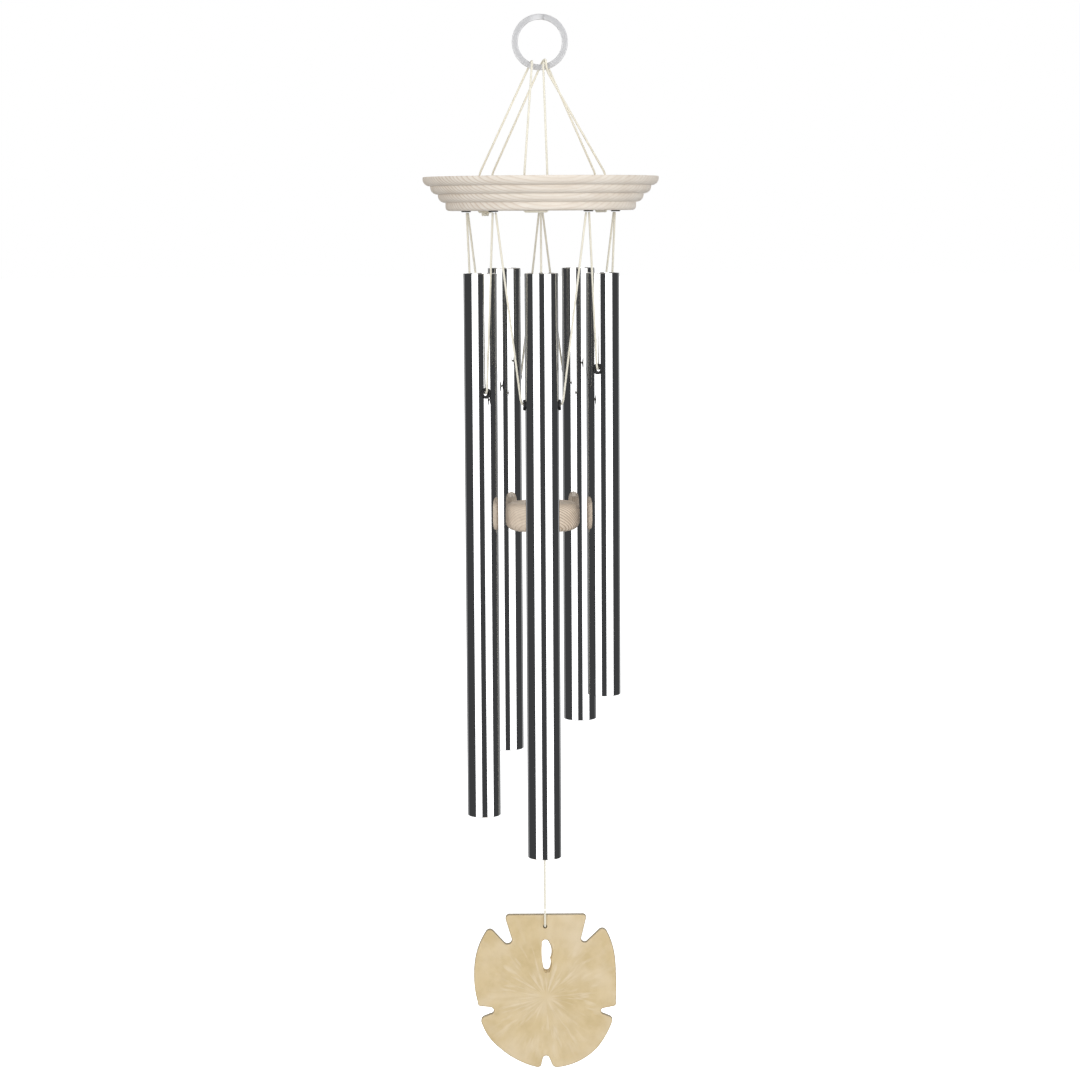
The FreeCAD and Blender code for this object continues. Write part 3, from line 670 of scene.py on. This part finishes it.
@dataclass
class Studio:
    """The camera, tall soft boxes for the bright tubes, a pale floor and a white surround."""

    lens: float = 100.0
    eye: tuple[float, float, float] = (-0.0016, -1.7146, -0.1097)
    pitch: float = 6.18
    roll: float = 0.35
    floor_drop: float = 0.35
    floor_half: float = 40.0
    box_distance: float = 1.6
    box_low: float = -1.15
    box_high: float = 0.75
    boxes: tuple = (
        # name, middle and width as angles from the front, brightness
        ("left_box", -36.9, 43.7, 1.9),
        ("right_box", 43.8, 48.4, 1.9),
        ("back_left_box", -141.0, 18.0, 0.28),
        ("back_right_box", 141.0, 18.0, 0.28),
        ("back_box", 180.0, 30.0, 1.3),
    )
    top_side: float = 1.4
    top_at: tuple[float, float, float] = (0.0, -0.2, 1.3)
    top_aim: tuple[float, float, float] = (0.0, 0.0, -0.3)
    top_brightness: float = 1.1
    surround: tuple = (
        # colour, strength, the kind of ray that meets it: soft fill for all others, then these
        ((0.97, 0.985, 1.0), 0.42, None),
        ((0.95, 0.97, 1.0), 0.055, "Is Glossy Ray"),
        ((1.0, 1.0, 1.0), 1.0, "Is Camera Ray"),
    )

    def camera(self) -> None:
        """The camera, a little above the middle and tipped down."""
        data = bpy.data.cameras.new("camera")
        data.lens = self.lens
        camera = bpy.data.objects.new("camera", data)
        bpy.context.scene.collection.objects.link(camera)
        camera.matrix_world = (
            Matrix.Translation(self.eye)
            @ Matrix.Rotation(math.radians(90 - self.pitch), 4, "X")
            @ Matrix.Rotation(-math.radians(self.roll), 4, "Z")
        )
        bpy.context.scene.camera = camera

    def soft_box(
        self, name: str, size: tuple[float, float], at: np.ndarray, aim: np.ndarray,
        brightness: float,
    ) -> None:
        """One area light that no camera sees.

        Args:
            name: its name.
            size: its width and height.
            at: its middle.
            aim: the point that it faces.
            brightness: how bright its face is.
        """
        light = bpy.data.lights.new(name, "AREA")
        light.shape = "RECTANGLE"
        light.size, light.size_y = size
        light.energy = brightness * math.pi * size[0] * size[1]
        holder = bpy.data.objects.new(name, light)
        holder.location = at
        holder.rotation_euler = Vector(aim - at).to_track_quat("-Z", "Y").to_euler()
        holder.visible_camera = False
        bpy.context.scene.collection.objects.link(holder)

    def light(self) -> None:
        """The soft boxes, the one overhead, and the surround that only mirrors see as dark."""
        middle = (self.box_low + self.box_high) / 2
        for name, angle, width, brightness in self.boxes:
            wide = 2 * self.box_distance * math.tan(math.radians(width / 2))
            size = (wide, self.box_high - self.box_low)
            at = around(angle, self.box_distance, middle)
            self.soft_box(name, size, at, np.array([0, 0, middle]), brightness)
        size = (self.top_side, self.top_side)
        at, aim = np.array(self.top_at), np.array(self.top_aim)
        self.soft_box("top_box", size, at, aim, self.top_brightness)
        world = bpy.data.worlds.new("surround")
        world.use_nodes = True
        bpy.context.scene.world = world
        nodes, links = world.node_tree.nodes, world.node_tree.links
        nodes.clear()
        ray, out = nodes.new("ShaderNodeLightPath"), nodes.new("ShaderNodeOutputWorld")
        seen = None
        for colour, strength, kind in self.surround:
            shade = nodes.new("ShaderNodeBackground")
            shade.inputs["Color"].default_value = (*colour, 1.0)
            shade.inputs["Strength"].default_value = strength
            if seen is None:
                seen = shade
                continue
            mix = nodes.new("ShaderNodeMixShader")
            links.new(ray.outputs[kind], mix.inputs[0])
            links.new(seen.outputs[0], mix.inputs[1])
            links.new(shade.outputs[0], mix.inputs[2])
            seen = mix
        links.new(seen.outputs[0], out.inputs[0])
        bpy.context.scene.view_settings.view_transform = "Standard"

    def floor(self) -> None:
        """A pale floor well below the sail, as white as the surround, which no tube mirrors."""
        side = np.array([-self.floor_half, self.floor_half])
        x, y = np.meshgrid(side, side, indexing="ij")
        z = np.full_like(x, CAD_BOX[0].z - self.floor_drop)
        floor = built("floor", [Patch(np.stack([x, y, z], axis=-1))])
        r = Recipe("pale_floor")
        speckle = r.noise(r.place(), 3.0, 3.0)
        floor.data.materials.append(r.finished(
            colour=r.mixed(speckle, (0.95, 0.95, 0.95), (0.93, 0.93, 0.93)), roughness=0.9,
            glow=(1.0, 1.0, 1.0, 1.0), glow_strength=1.0,
        ))
        floor.visible_glossy = False
        floor.visible_diffuse = False


# ---- cords


@dataclass
class CordWork:
    """Pieces of cord, all of one braid and one finish."""

    braid: BraidedCord
    finish: Material

    def piece(self, name: str, patches: Sequence[Patch], *place: str) -> Piece:
        """A piece of cord that moves with a body, named first, in the place of CAD nodes."""
        return settled(built(name, patches, ALL_SMOOTH), self.finish, "cord", *place)

    def taut(
        self, node: str, route: Sequence[Sequence[float]], reference: Sequence[float], body: str,
        exit: Sequence[float], length: float, far_end: str = "object", ends_in: Sequence = (),
    ) -> None:
        """A taut length of cord in the place of a CAD node.

        Args:
            node: the CAD node.
            route: the control points of its line, in metres.
            reference: a direction that the line never heads in.
            body: what it moves with.
            exit: where it leaves what carries it; not used.
            length: its real length in metres; not used.
            far_end: what its other end is; not used.
            ends_in: the piece there, if it has one of its own; not used.
        """
        line = smooth_line(route)
        cord = self.piece(f"{node}_braid", [self.braid.carried(line, reference)], body, node)


@dataclass
class HangerCords(CordWork):
    """Three lengths of cord that carry the crown from the ring; CrownKnots makes their runs under
    it.
    """

    in_hole: float = -93.9
    mouth: float = -87.1
    near_mouth: float = 6.8
    near_ring: float = 7.5
    lengths: tuple = (
        # name, from hole, over the wire, to hole, real length
        ("left", "left_outer", ((-4.9, 3.2, -23.1), (-4.4, -3.2, -23.1)), "front_left", 0.165),
        ("middle", "front_right", ((1.8, -3.2, -23.65), (3.4, 3.2, -23.65)), "right_inner", 0.165),
        ("right", "right_outer", ((3.6, -3.1, -28.24), (3.5, -3.2, -22.3), (1.8, 3.2, -22.3)),
         "left_inner", 0.170),
    )

    def build(self) -> None:
        """Makes each length: out of its hole, over the ring's wire and down into another."""
        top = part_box("crown_disc")[1].z
        for name, start, over, end, length in self.lengths:
            up, down = HANGER_HOLES[start], HANGER_HOLES[end]
            first, last = (*up, self.mouth), (*down, self.mouth)
            route = np.array([
                (*up, self.in_hole), first, along(first, over[0], self.near_mouth),
                along(over[0], first, self.near_ring), *over,
                along(over[-1], last, self.near_ring), along(last, over[-1], self.near_mouth),
                last, (*down, self.in_hole),
            ]) * MM
            self.taut(f"hanger_cord_{name}", route, X, "hanger", (*route[0][:2], top), length)


@dataclass
class TubeCords(CordWork):
    """The loop of cord that carries each tube, from one eyelet to the next by its cross hole."""

    line_distance: float = 36.406
    half_span: float = 25.18
    pivot: float = -107.98
    corner: float = 11.55
    on_leg: float = 7.5
    in_tube: float = 4.0
    lengths: tuple[float, ...] = (0.239, 0.227, 0.214, 0.205, 0.201)

    def build(self) -> None:
        """Makes the five loops, each drawn flat at the front and turned to its place."""
        for (name, angle), length in zip(TUBE_ANGLES.items(), self.lengths):
            hole = centre_of(f"grommets_{name}").z / MM
            top, corner = (-self.half_span, self.pivot), (-self.corner, hole)
            half = [
                top, along(corner, top, self.on_leg), corner, (-self.corner + self.in_tube, hole),
            ]
            whole = half + [(-x, z) for x, z in reversed(half)]
            flat = np.array([(x, -self.line_distance, z) for x, z in whole]) * MM
            route = turned_to(flat, angle)
            outward = around(angle, 1.0)
            self.taut(f"tube_cord_{name}", route, outward, f"cord_{name}", route[0], length)


@dataclass
class CentreCord(CordWork):
    """The cord down the middle, which carries the clapper and then the sail, with its knots.

    A knot's size is half its width and half its height.
    """

    near_end: float = 7.5 * MM
    head_knot: tuple[float, float] = (2.3 * MM, 1.7 * MM)
    foot_knot: tuple[float, float] = (2.55 * MM, 1.7 * MM)
    tie_knot: tuple[float, float] = (2.3 * MM, 1.45 * MM)

    def straight(self, node: str, end: Piece) -> None:
        """A straight length on its own body, where its CAD node is, that ends in a knot."""
        low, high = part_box(node)
        x, y = (low.x + high.x) / 2, (low.y + high.y) / 2
        heights = (high.z, high.z - self.near_end, low.z + self.near_end, low.z)
        route = [(x, y, z) for z in heights]
        self.taut(node, route, X, node, route[0], high.z - low.z, "knot", [end])

    def build(self) -> None:
        """Makes the knots and then the two lengths between them."""
        head = np.array(centre_of("clapper_cord_knot"))
        patches = [self.braid.knot(head, Z, *self.head_knot)]
        for side in Side:
            out = np.array([side.value, 0.4, 0]) * MM
            tail = [head, head + out + (0, 0, 1.5 * MM), head + 2 * out + (0, 0, 2.5 * MM)]
            patches.append(self.braid.laid(tail, Y))
        self.piece("clapper_cord_stopper", patches, "clapper_cord_knot", "clapper_cord_knot")

        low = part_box("clapper")[0].z
        core = [(0, 0, low + drop * MM) for drop in (0.5, -2.0, -4.9)]
        knot = self.braid.knot(np.array([0, 0, low - 1.75 * MM]), Z, *self.foot_knot)
        patches = [knot, self.braid.laid(core, X)]
        under = self.piece("clapper_stopper", patches, "clapper_knot", "clapper_knot")

        tie = self.sail_tie()
        self.straight("clapper_cord", under)
        self.straight("sail_cord", tie)

    def sail_tie(self) -> Piece:
        """The cord's end: down the sail's face, back through its hole, and a knot behind."""
        top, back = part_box("sail_tie")[1].z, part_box("sail")[1].y
        front = [(0, 0, top), (0, 0, HOLE_IN_SAIL + 2.5 * MM)]
        through = [(0, y, HOLE_IN_SAIL) for y in (0, 2.5 * MM, back - 1 * MM, back + 2 * MM)]
        # each place on the loose end: to the right, behind the sail and below its hole
        loose = ((0, 1.5, 0), (0.8, 3.0, 0.6), (1.6, 3.8, 3.0), (1.2, 3.0, 6.0))
        tail = [(x * MM, back + y * MM, HOLE_IN_SAIL - z * MM) for x, y, z in loose]
        knot_at = np.array([0, back + 1.5 * MM, HOLE_IN_SAIL])
        return self.piece("sail_tie_braid", [
            self.braid.laid(front + through, X), self.braid.laid(tail, X),
            self.braid.knot(knot_at, Y, *self.tie_knot),
        ], "sail_tie", "sail_tie")


@dataclass
class CrownKnots(CordWork):
    """The knots above and below the crown, and the short runs of cord under it."""

    leg_offset: float = 1.275 * MM
    knot_tall: float = 2.6 * MM
    stop_knot: tuple[float, float] = (2.75 * MM, 1.7 * MM)
    lobe: tuple[float, float] = (1.6 * MM, 1.3 * MM)
    lobe_offset: float = 1.4 * MM
    bend: float = 2.2 * MM

    def stopper(self, angle: float, swing: float) -> list[Patch]:
        """The knot in one recess, with its two legs below and its two loose ends above.

        Args:
            angle: its eyelet's angle in degrees.
            swing: how far its loose ends are turned from the tangent, in degrees.
        """
        low, high = (corner.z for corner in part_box("tube_cord_knots"))
        middle = around(angle, EYELET_CIRCLE * MM, high - self.knot_tall)
        patches = []
        for side in Side:
            # the tangents at two angles, each towards this side
            leg, out = (
                around(angle + side.value * turn + 90, side.value) for turn in (HALF_STEP, swing)
            )
            start = middle + leg * self.leg_offset
            under = np.array([start[0], start[1], low])
            route = [under, (under + start) / 2, middle]
            patches.append(self.braid.laid(route, around(angle, 1.0)))
            tail = [middle, middle + out * 1.2 * MM + (0, 0, 1.5 * MM),
                    middle + out * 2.5 * MM + (0, 0, 2.3 * MM)]
            patches.append(self.braid.laid(tail, Z))
        return [*patches, self.braid.knot(middle, Z, *self.stop_knot)]

    def build(self) -> None:
        """Makes the five knots in the recesses, two runs below and the hanger cord's end knot."""
        patches = []
        for turn, angle in enumerate(EYELET_ANGLES):
            patches += self.stopper(angle, 50 + 9 * turn)
        self.piece("tube_cord_stoppers", patches, "crown", "tube_cord_knots")
        for name, start, end in (
            ("front", "front_left", "front_right"), ("right", "right_outer", "right_inner"),
        ):
            run = [self.under_run(start, end)]
            self.piece(f"underrun_{name}_braid", run, "crown", f"hanger_underrun_{name}")
        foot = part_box("crown_disc")[0].z
        a, b = (np.array([*HANGER_HOLES[end], 0]) * MM for end in ("left_outer", "left_inner"))
        across = (b - a) / np.linalg.norm(b - a)
        middle = (a + b) / 2 + (0, 0, foot - 1.65 * MM)
        lobes = [
            self.braid.knot(middle + across * shift, tuple(across), *self.lobe)
            for shift in (-self.lobe_offset, self.lobe_offset)
        ]
        run = self.under_run("left_outer", "left_inner")
        self.piece("hanger_end_knot", [run, *lobes], "crown", "hanger_knot")

    def under_run(self, start: str, end: str) -> Patch:
        """A run from one hole of a pair to the other, tight under the crown."""
        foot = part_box("crown_disc")[0].z
        a, b = (np.array([*HANGER_HOLES[name], 0]) * MM for name in (start, end))
        low, inside = foot - self.braid.radius - 0.05 * MM, foot + 8 * MM
        near = (b - a) / np.linalg.norm(b - a) * self.bend
        half = [a + (0, 0, z) for z in (inside, low + self.bend, low)] + [a + near + (0, 0, low)]
        rest = [b - near + (0, 0, low)] + [b + (0, 0, z) for z in (low, low + self.bend, inside)]
        return self.braid.laid(half + rest, np.cross(b - a, Z))


# ---- ring, crown, tubes, clapper


@dataclass
class SplitRing:
    """A split ring: flat spring wire wound twice, with a step where one coil crosses over."""

    finish: Material
    wire_width: float = 3.3 * MM
    wire_thick: float = 1.42 * MM
    step_at: float = -10.0
    step_half: float = 20.0
    cut_round: float = 0.5 * MM
    squareness: float = 0.38

    def build(self) -> None:
        """Makes the wire.

        The wire's middle goes round a circle for two turns less a step at each end. Sideways it
        is at -g in the first turn and +g in the second, and moves between by a smooth step.
        Its section is a squared-off oval: the cosine and sine of an angle, each raised to a
        power below one with its sign kept, times half the width and half the thickness.
        """
        low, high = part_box("hanging_ring")
        middle, outside = (low.z + high.z) / 2, (high.z - low.z) / 2
        ring = outside - self.wire_width / 2
        half = math.radians(self.step_half)
        turn = np.linspace(half, 2 * FULL_TURN - half, 721)[:, None]
        side = (high.y - low.y) / 4
        part = np.clip((turn - FULL_TURN + half) / (2 * half), 0, 1)
        y = side * (2 * part * part * (3 - 2 * part) - 1)
        end = np.minimum(turn - turn[0], turn[-1] - turn) * ring / self.cut_round
        blunt = np.sqrt(1 - (1 - np.clip(end, 0, 1)) ** 2)
        v = np.linspace(0, FULL_TURN, 33)
        c, s = (np.sign(w) * np.abs(w) ** self.squareness for w in (np.cos(v), np.sin(v)))
        far = ring + self.wire_width / 2 * c * blunt
        over = self.wire_thick / 2 * s * blunt
        a = turn + math.radians(self.step_at)
        points = np.stack([far * np.sin(a), y + over, middle + far * np.cos(a)], axis=-1)
        uv = np.stack(np.broadcast_arrays(turn * ring / MM, v / FULL_TURN), axis=-1)
        wire = built("split_ring_wire", [Patch(points, uv)], 35)
        settled(wire, self.finish, "ring_steel", "ring", "hanging_ring")


@dataclass
class Crown:
    """The turned wooden disc, and the rubber eyelets in its underside."""

    wood: Material
    rubber: Material

    def build(self) -> None:
        """Finishes the disc and makes the eyelets."""
        redress("crown_disc", self.wood)
        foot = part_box("crown_disc")[0].z / MM
        lip = np.concatenate([
            [(2.28, 5.8), (2.28, 0.02)], arc((2.40, -0.34), 0.34, 75, -90),
            arc((2.28, -0.36), 0.33, -95, -180), [(1.95, 0.3), (1.95, 5.8), (2.28, 5.8)],
        ])
        one = lathed(lip, 40)
        places = [around(angle, EYELET_CIRCLE, foot) for angle in EYELET_ANGLES]
        piece = built("crown_eyelet_rings", [Patch((one + place) * MM) for place in places], 50)
        settled(piece, self.rubber, "eyelet_rubber", "crown", "crown_eyelets")


@dataclass
class Tubes:
    """The five tubes, and the rubber grommets in their cross holes."""

    metal: Material
    rubber: Material
    circle: float = 36.4
    radius: float = 9.525

    def grommet(self, side: Side) -> np.ndarray:
        """One grommet about the X axis, seated on the tube's round wall.

        A loop of (distance from its axis, height over the wall) is turned about X. At a place b
        to the side of the axis the wall stands at sqrt(R^2 - b^2), and the height adds to that.
        """
        loop = np.concatenate([
            [(1.5, -2.2), (1.5, -0.4), (1.5, 0.55)], arc((2.05, 0.62), 0.56, 180, 80),
            arc((2.45, 0.52), 0.65, 80, 0),
            [(3.1, 0.1), (3.02, 0.03), (2.25, 0.03), (2.25, -2.2), (1.5, -2.2)],
        ])
        up, out, over = np.moveaxis(lathed(loop, 48), -1, 0)
        wall = np.sqrt(self.radius**2 - out**2) + over
        return np.stack([side.value * wall, out, up], axis=-1)

    def build(self) -> None:
        """Finishes the tubes and makes the grommets. The tubes aren't mirrored in each other."""
        for name, angle in TUBE_ANGLES.items():
            redress(f"tube_{name}", self.metal)
            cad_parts[f"tube_{name}"].visible_glossy = False
            place = around(angle, self.circle, centre_of(f"grommets_{name}").z / MM)
            pair = [Patch((turned_to(self.grommet(side), angle) + place) * MM) for side in Side]
            piece = built(f"grommet_pair_{name}", pair, 50)
            node = f"grommets_{name}"
            settled(piece, self.rubber, "grommet_rubber", f"tube_{name}", node)


# ---- sail


Stretch = tuple[tuple[float, float], tuple[float, float] | None]


@dataclass
class Sail:
    """The cast sail: a sand dollar's outline with five notches, a slot and rounded edges."""

    finish: Material
    middle: tuple[float, float] = (0.4, -42.0)
    edge_round: float = 0.9
    crisp: float = 30.0
    hole_radius: float = 1.25
    slot_taper: float = 0.16
    ray_depth: float = 0.06
    rays: tuple = ((17, 0.6, 1.0), (29, 2.0, 0.8), (41, -1.0, 0.6))  # count, turn, weight
    outline: tuple[Stretch, ...] = (
        # from the cord hole, clockwise: a place, and for a curve one on the way to it
        ((-21.2, 7.0), None), ((22.1, 7.0), None), ((23.9, 4.6), (23.5, 6.3)), ((21.1, -7.0), None),
        ((24.7, -8.8), (22.2, -9.5)), ((31.1, -2.6), None), ((35.9, -3.2), (33.7, -1.6)),
        ((41.0, -21.5), (39.4, -12.0)), ((41.3, -45.5), (41.5, -34.0)),
        ((39.7, -48.0), (41.0, -47.3)), ((34.2, -49.1), None), ((33.9, -52.5), (32.5, -50.8)),
        ((37.0, -53.8), None), ((38.9, -57.6), (39.0, -55.5)), ((30.4, -72.7), (35.2, -65.6)),
        ((6.5, -84.5), (19.4, -80.9)), ((3.4, -82.2), (4.5, -83.8)), ((2.1, -79.0), None),
        ((-1.8, -79.2), (0.1, -77.5)), ((-2.5, -82.4), None), ((-5.4, -84.3), (-3.4, -83.9)),
        ((-26.5, -73.1), (-16.8, -79.9)), ((-37.4, -58.0), (-33.2, -66.2)),
        ((-35.9, -53.7), (-37.6, -55.4)), ((-32.4, -52.3), None), ((-32.4, -48.2), (-30.4, -50.4)),
        ((-38.2, -47.5), None), ((-39.7, -45.2), (-39.4, -46.8)), ((-40.7, -17.9), (-41.8, -31.0)),
        ((-34.7, -3.4), (-38.3, -10.2)), ((-30.2, -2.8), (-32.3, -1.8)), ((-23.7, -9.9), None),
        ((-19.7, -7.0), (-20.8, -10.2)), ((-23.0, 4.0), None), ((-21.2, 7.0), (-22.6, 6.1)),
    )
    slot: tuple[Stretch, ...] = (
        ((-1.9, -10.5), None), ((2.9, -9.4), (0.4, -7.4)), ((3.4, -20.0), (4.5, -15.0)),
        ((3.2, -26.0), (3.9, -23.0)), ((-1.0, -26.4), (1.4, -28.0)), ((-1.9, -10.5), (-2.1, -18.5)),
    )

    def run(self, stretches: Sequence[Stretch], gap: float) -> np.ndarray:
        """Evenly spaced points of a closed outline.

        A curved stretch is the circle through its two ends and the place between: with chord
        ends a and b and w on the way, the centre is as far from all three.
        """
        parts, start = [], np.array(stretches[0][0])
        for end, way in stretches[1:]:
            a, b = start, np.array(end)
            if way is None:
                count = max(2, int(np.linalg.norm(b - a) / gap))
                t = np.linspace(0, 1, count, endpoint=False)[:, None]
                parts.append(a + (b - a) * t)
            else:
                w = np.array(way)
                system = 2 * np.array([b - a, w - a])
                centre = np.linalg.solve(system, [b @ b - a @ a, w @ w - a @ a])
                angles = [math.atan2(*(p - centre)[::-1]) for p in (a, w, b)]
                swing = sum(
                    math.remainder(late - early, FULL_TURN)
                    for early, late in zip(angles, angles[1:])
                )
                radius = np.linalg.norm(a - centre)
                count = max(4, int(abs(swing) * radius / gap), int(abs(swing) * 6))
                t = angles[0] + swing * np.linspace(0, 1, count, endpoint=False)[:, None]
                parts.append(centre + radius * np.concatenate([np.cos(t), np.sin(t)], axis=1))
            start = b
        line = np.concatenate(parts)
        return np.concatenate([line, line[:1]])

    def plate(self) -> Patch:
        """The plate's whole skin, from the middle of its front round the edge to that of its back.

        Near the edge a point is the outline moved in by r (1 - cos a), its depth that of a
        quarter round of radius r. Inside that it goes straight to the middle, and the front sinks
        by shallow rays: a sum of cosines of the angle, faded in and out with distance.
        """
        line = self.run(self.outline, 0.7)
        ahead = np.roll(line[:-1], -1, axis=0) - np.roll(line[:-1], 1, axis=0)
        inward = np.stack([ahead[:, 1], -ahead[:, 0]], axis=1)
        inward /= np.linalg.norm(inward, axis=1)[:, None]
        inward = np.concatenate([inward, inward[:1]])
        low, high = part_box("sail")
        half = (high.y - low.y) / 2 / MM
        a = np.radians(np.linspace(0, 90, 7))
        inset = self.edge_round * (1 - np.cos(a))
        depth = half - self.edge_round + self.edge_round * np.sin(a)
        rim = line[None] + inward[None] * inset[:, None, None]
        share = np.linspace(0, 1, 34)[1:] ** 0.9
        middle = np.array(self.middle)
        face = rim[-1][None] + (middle - rim[-1])[None] * share[:, None, None]
        out = face - middle
        far = np.linalg.norm(out, axis=2)
        way = np.arctan2(out[..., 1], out[..., 0])
        rays = sum(weight * np.cos(count * way + turn) for count, turn, weight in self.rays)
        fade = np.clip(far / 7, 0, 1) * np.clip((34 - far) / 14, 0, 1)
        sink = self.ray_depth * fade * (1.2 + rays / 2.4)
        flat_rim = np.broadcast_to(depth[:, None], rim.shape[:2])
        front = np.concatenate([flat_rim, half - sink])
        back = np.concatenate([flat_rim, np.full_like(sink, half)])
        skin = np.concatenate([rim, face])
        walk = np.concatenate([skin[::-1], skin])
        y = np.concatenate([-front[::-1], back])
        # painted shade on the rounded edge, strongest on the outer wall
        rim_shade = np.broadcast_to(np.cos(a)[:, None], rim.shape[:2])
        tone = np.concatenate([rim_shade, np.zeros_like(sink)])
        x, z = np.moveaxis(walk, -1, 0) * MM
        points = np.stack([x, y * MM + (low.y + high.y) / 2, z + HOLE_IN_SAIL], axis=-1)
        return Patch(points, tone=np.concatenate([tone[::-1], tone]))

    def cutter(self, name: str, line: np.ndarray, taper: float) -> Piece:
        """A closed bar through the plate with an outline's section; its tone is that of an edge, so
        the cut walls get painted shade.

        Behind the plate its section is smaller by the taper, and drawn towards the outline's left.
        """
        low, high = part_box("sail")
        middle = line[:-1].mean(axis=0) - (2.5, 0.0)
        front, back = low.y - 0.5 * MM, high.y + 0.5 * MM
        rows = []
        for share, y in ((0, front), (1, front), (1 - taper, back), (0, back)):
            x, z = ((middle + (line - middle) * share) * MM).T
            rows.append(np.stack([x, np.full(len(line), y), z + HOLE_IN_SAIL], axis=-1))
        grid = np.stack(rows)
        return built(name, [Patch(grid, tone=np.ones(grid.shape[:2]))])

    def build(self) -> None:
        """Makes the plate, cuts the slot and the cord hole, and finishes it."""
        sail = built("sail_plate", [self.plate()], self.crisp)
        a = np.linspace(0, FULL_TURN, 41)
        hole = self.hole_radius * np.stack([np.cos(a), np.sin(a)], axis=1)
        slot = self.run(self.slot, 0.5)
        for name, line, taper in (("slot", slot, self.slot_taper), ("hole", hole, 0.0)):
            cutter = self.cutter(f"{name}_cutter", line, taper)
            cut = sail.modifiers.new(name, "BOOLEAN")
            cut.operation, cut.solver, cut.object = "DIFFERENCE", "EXACT", cutter
            seen = sail.evaluated_get(bpy.context.evaluated_depsgraph_get())
            shape = bpy.data.meshes.new_from_object(seen)
            sail.modifiers.clear()
            sail.data = shape
            bpy.data.objects.remove(cutter)
        sail.data.polygons.foreach_set("use_smooth", np.ones(len(sail.data.polygons), bool))
        sail.data.set_sharp_from_angle(angle=math.radians(self.crisp))
        settled(sail, self.finish, "sail_resin", "sail", "sail")


def main() -> None:
    """Builds the chime from its cords outwards."""
    logging.basicConfig(level=logging.INFO, format="%(name)s: %(message)s")
    studio = Studio()
    studio.camera()
    braid, cream = BraidedCord(), CreamBraid().made()
    HangerCords(braid, cream).build()
    TubeCords(braid, cream).build()
    CentreCord(braid, cream).build()
    CrownKnots(braid, cream).build()
    rubber = BlackRubber().made()
    SplitRing(SatinNickel().made()).build()
    ash = TurnedWood(
        "bleached_ash", pale=(0.87, 0.81, 0.73), dark=(0.58, 0.46, 0.35),
        lean=(0.07, -0.70, 0.70), year=2.0 * MM, strong_side=-15.0,
    )
    Crown(ash.made(), rubber).build()
    Tubes(PolishedTube().made(), rubber).build()
    oak = TurnedWood(
        "pale_oak", pale=(0.93, 0.79, 0.64), dark=(0.42, 0.30, 0.20),
        lean=(0.10, 0.66, 0.74), year=1.3 * MM, strong_side=60.0,
    )
    redress("clapper", oak.made())
    x, z = Sail.middle
    Sail(SandResin((x * MM, 0, HOLE_IN_SAIL + z * MM)).made()).build()
    studio.light()
    studio.floor()


if __name__ == "__main__":
    main()
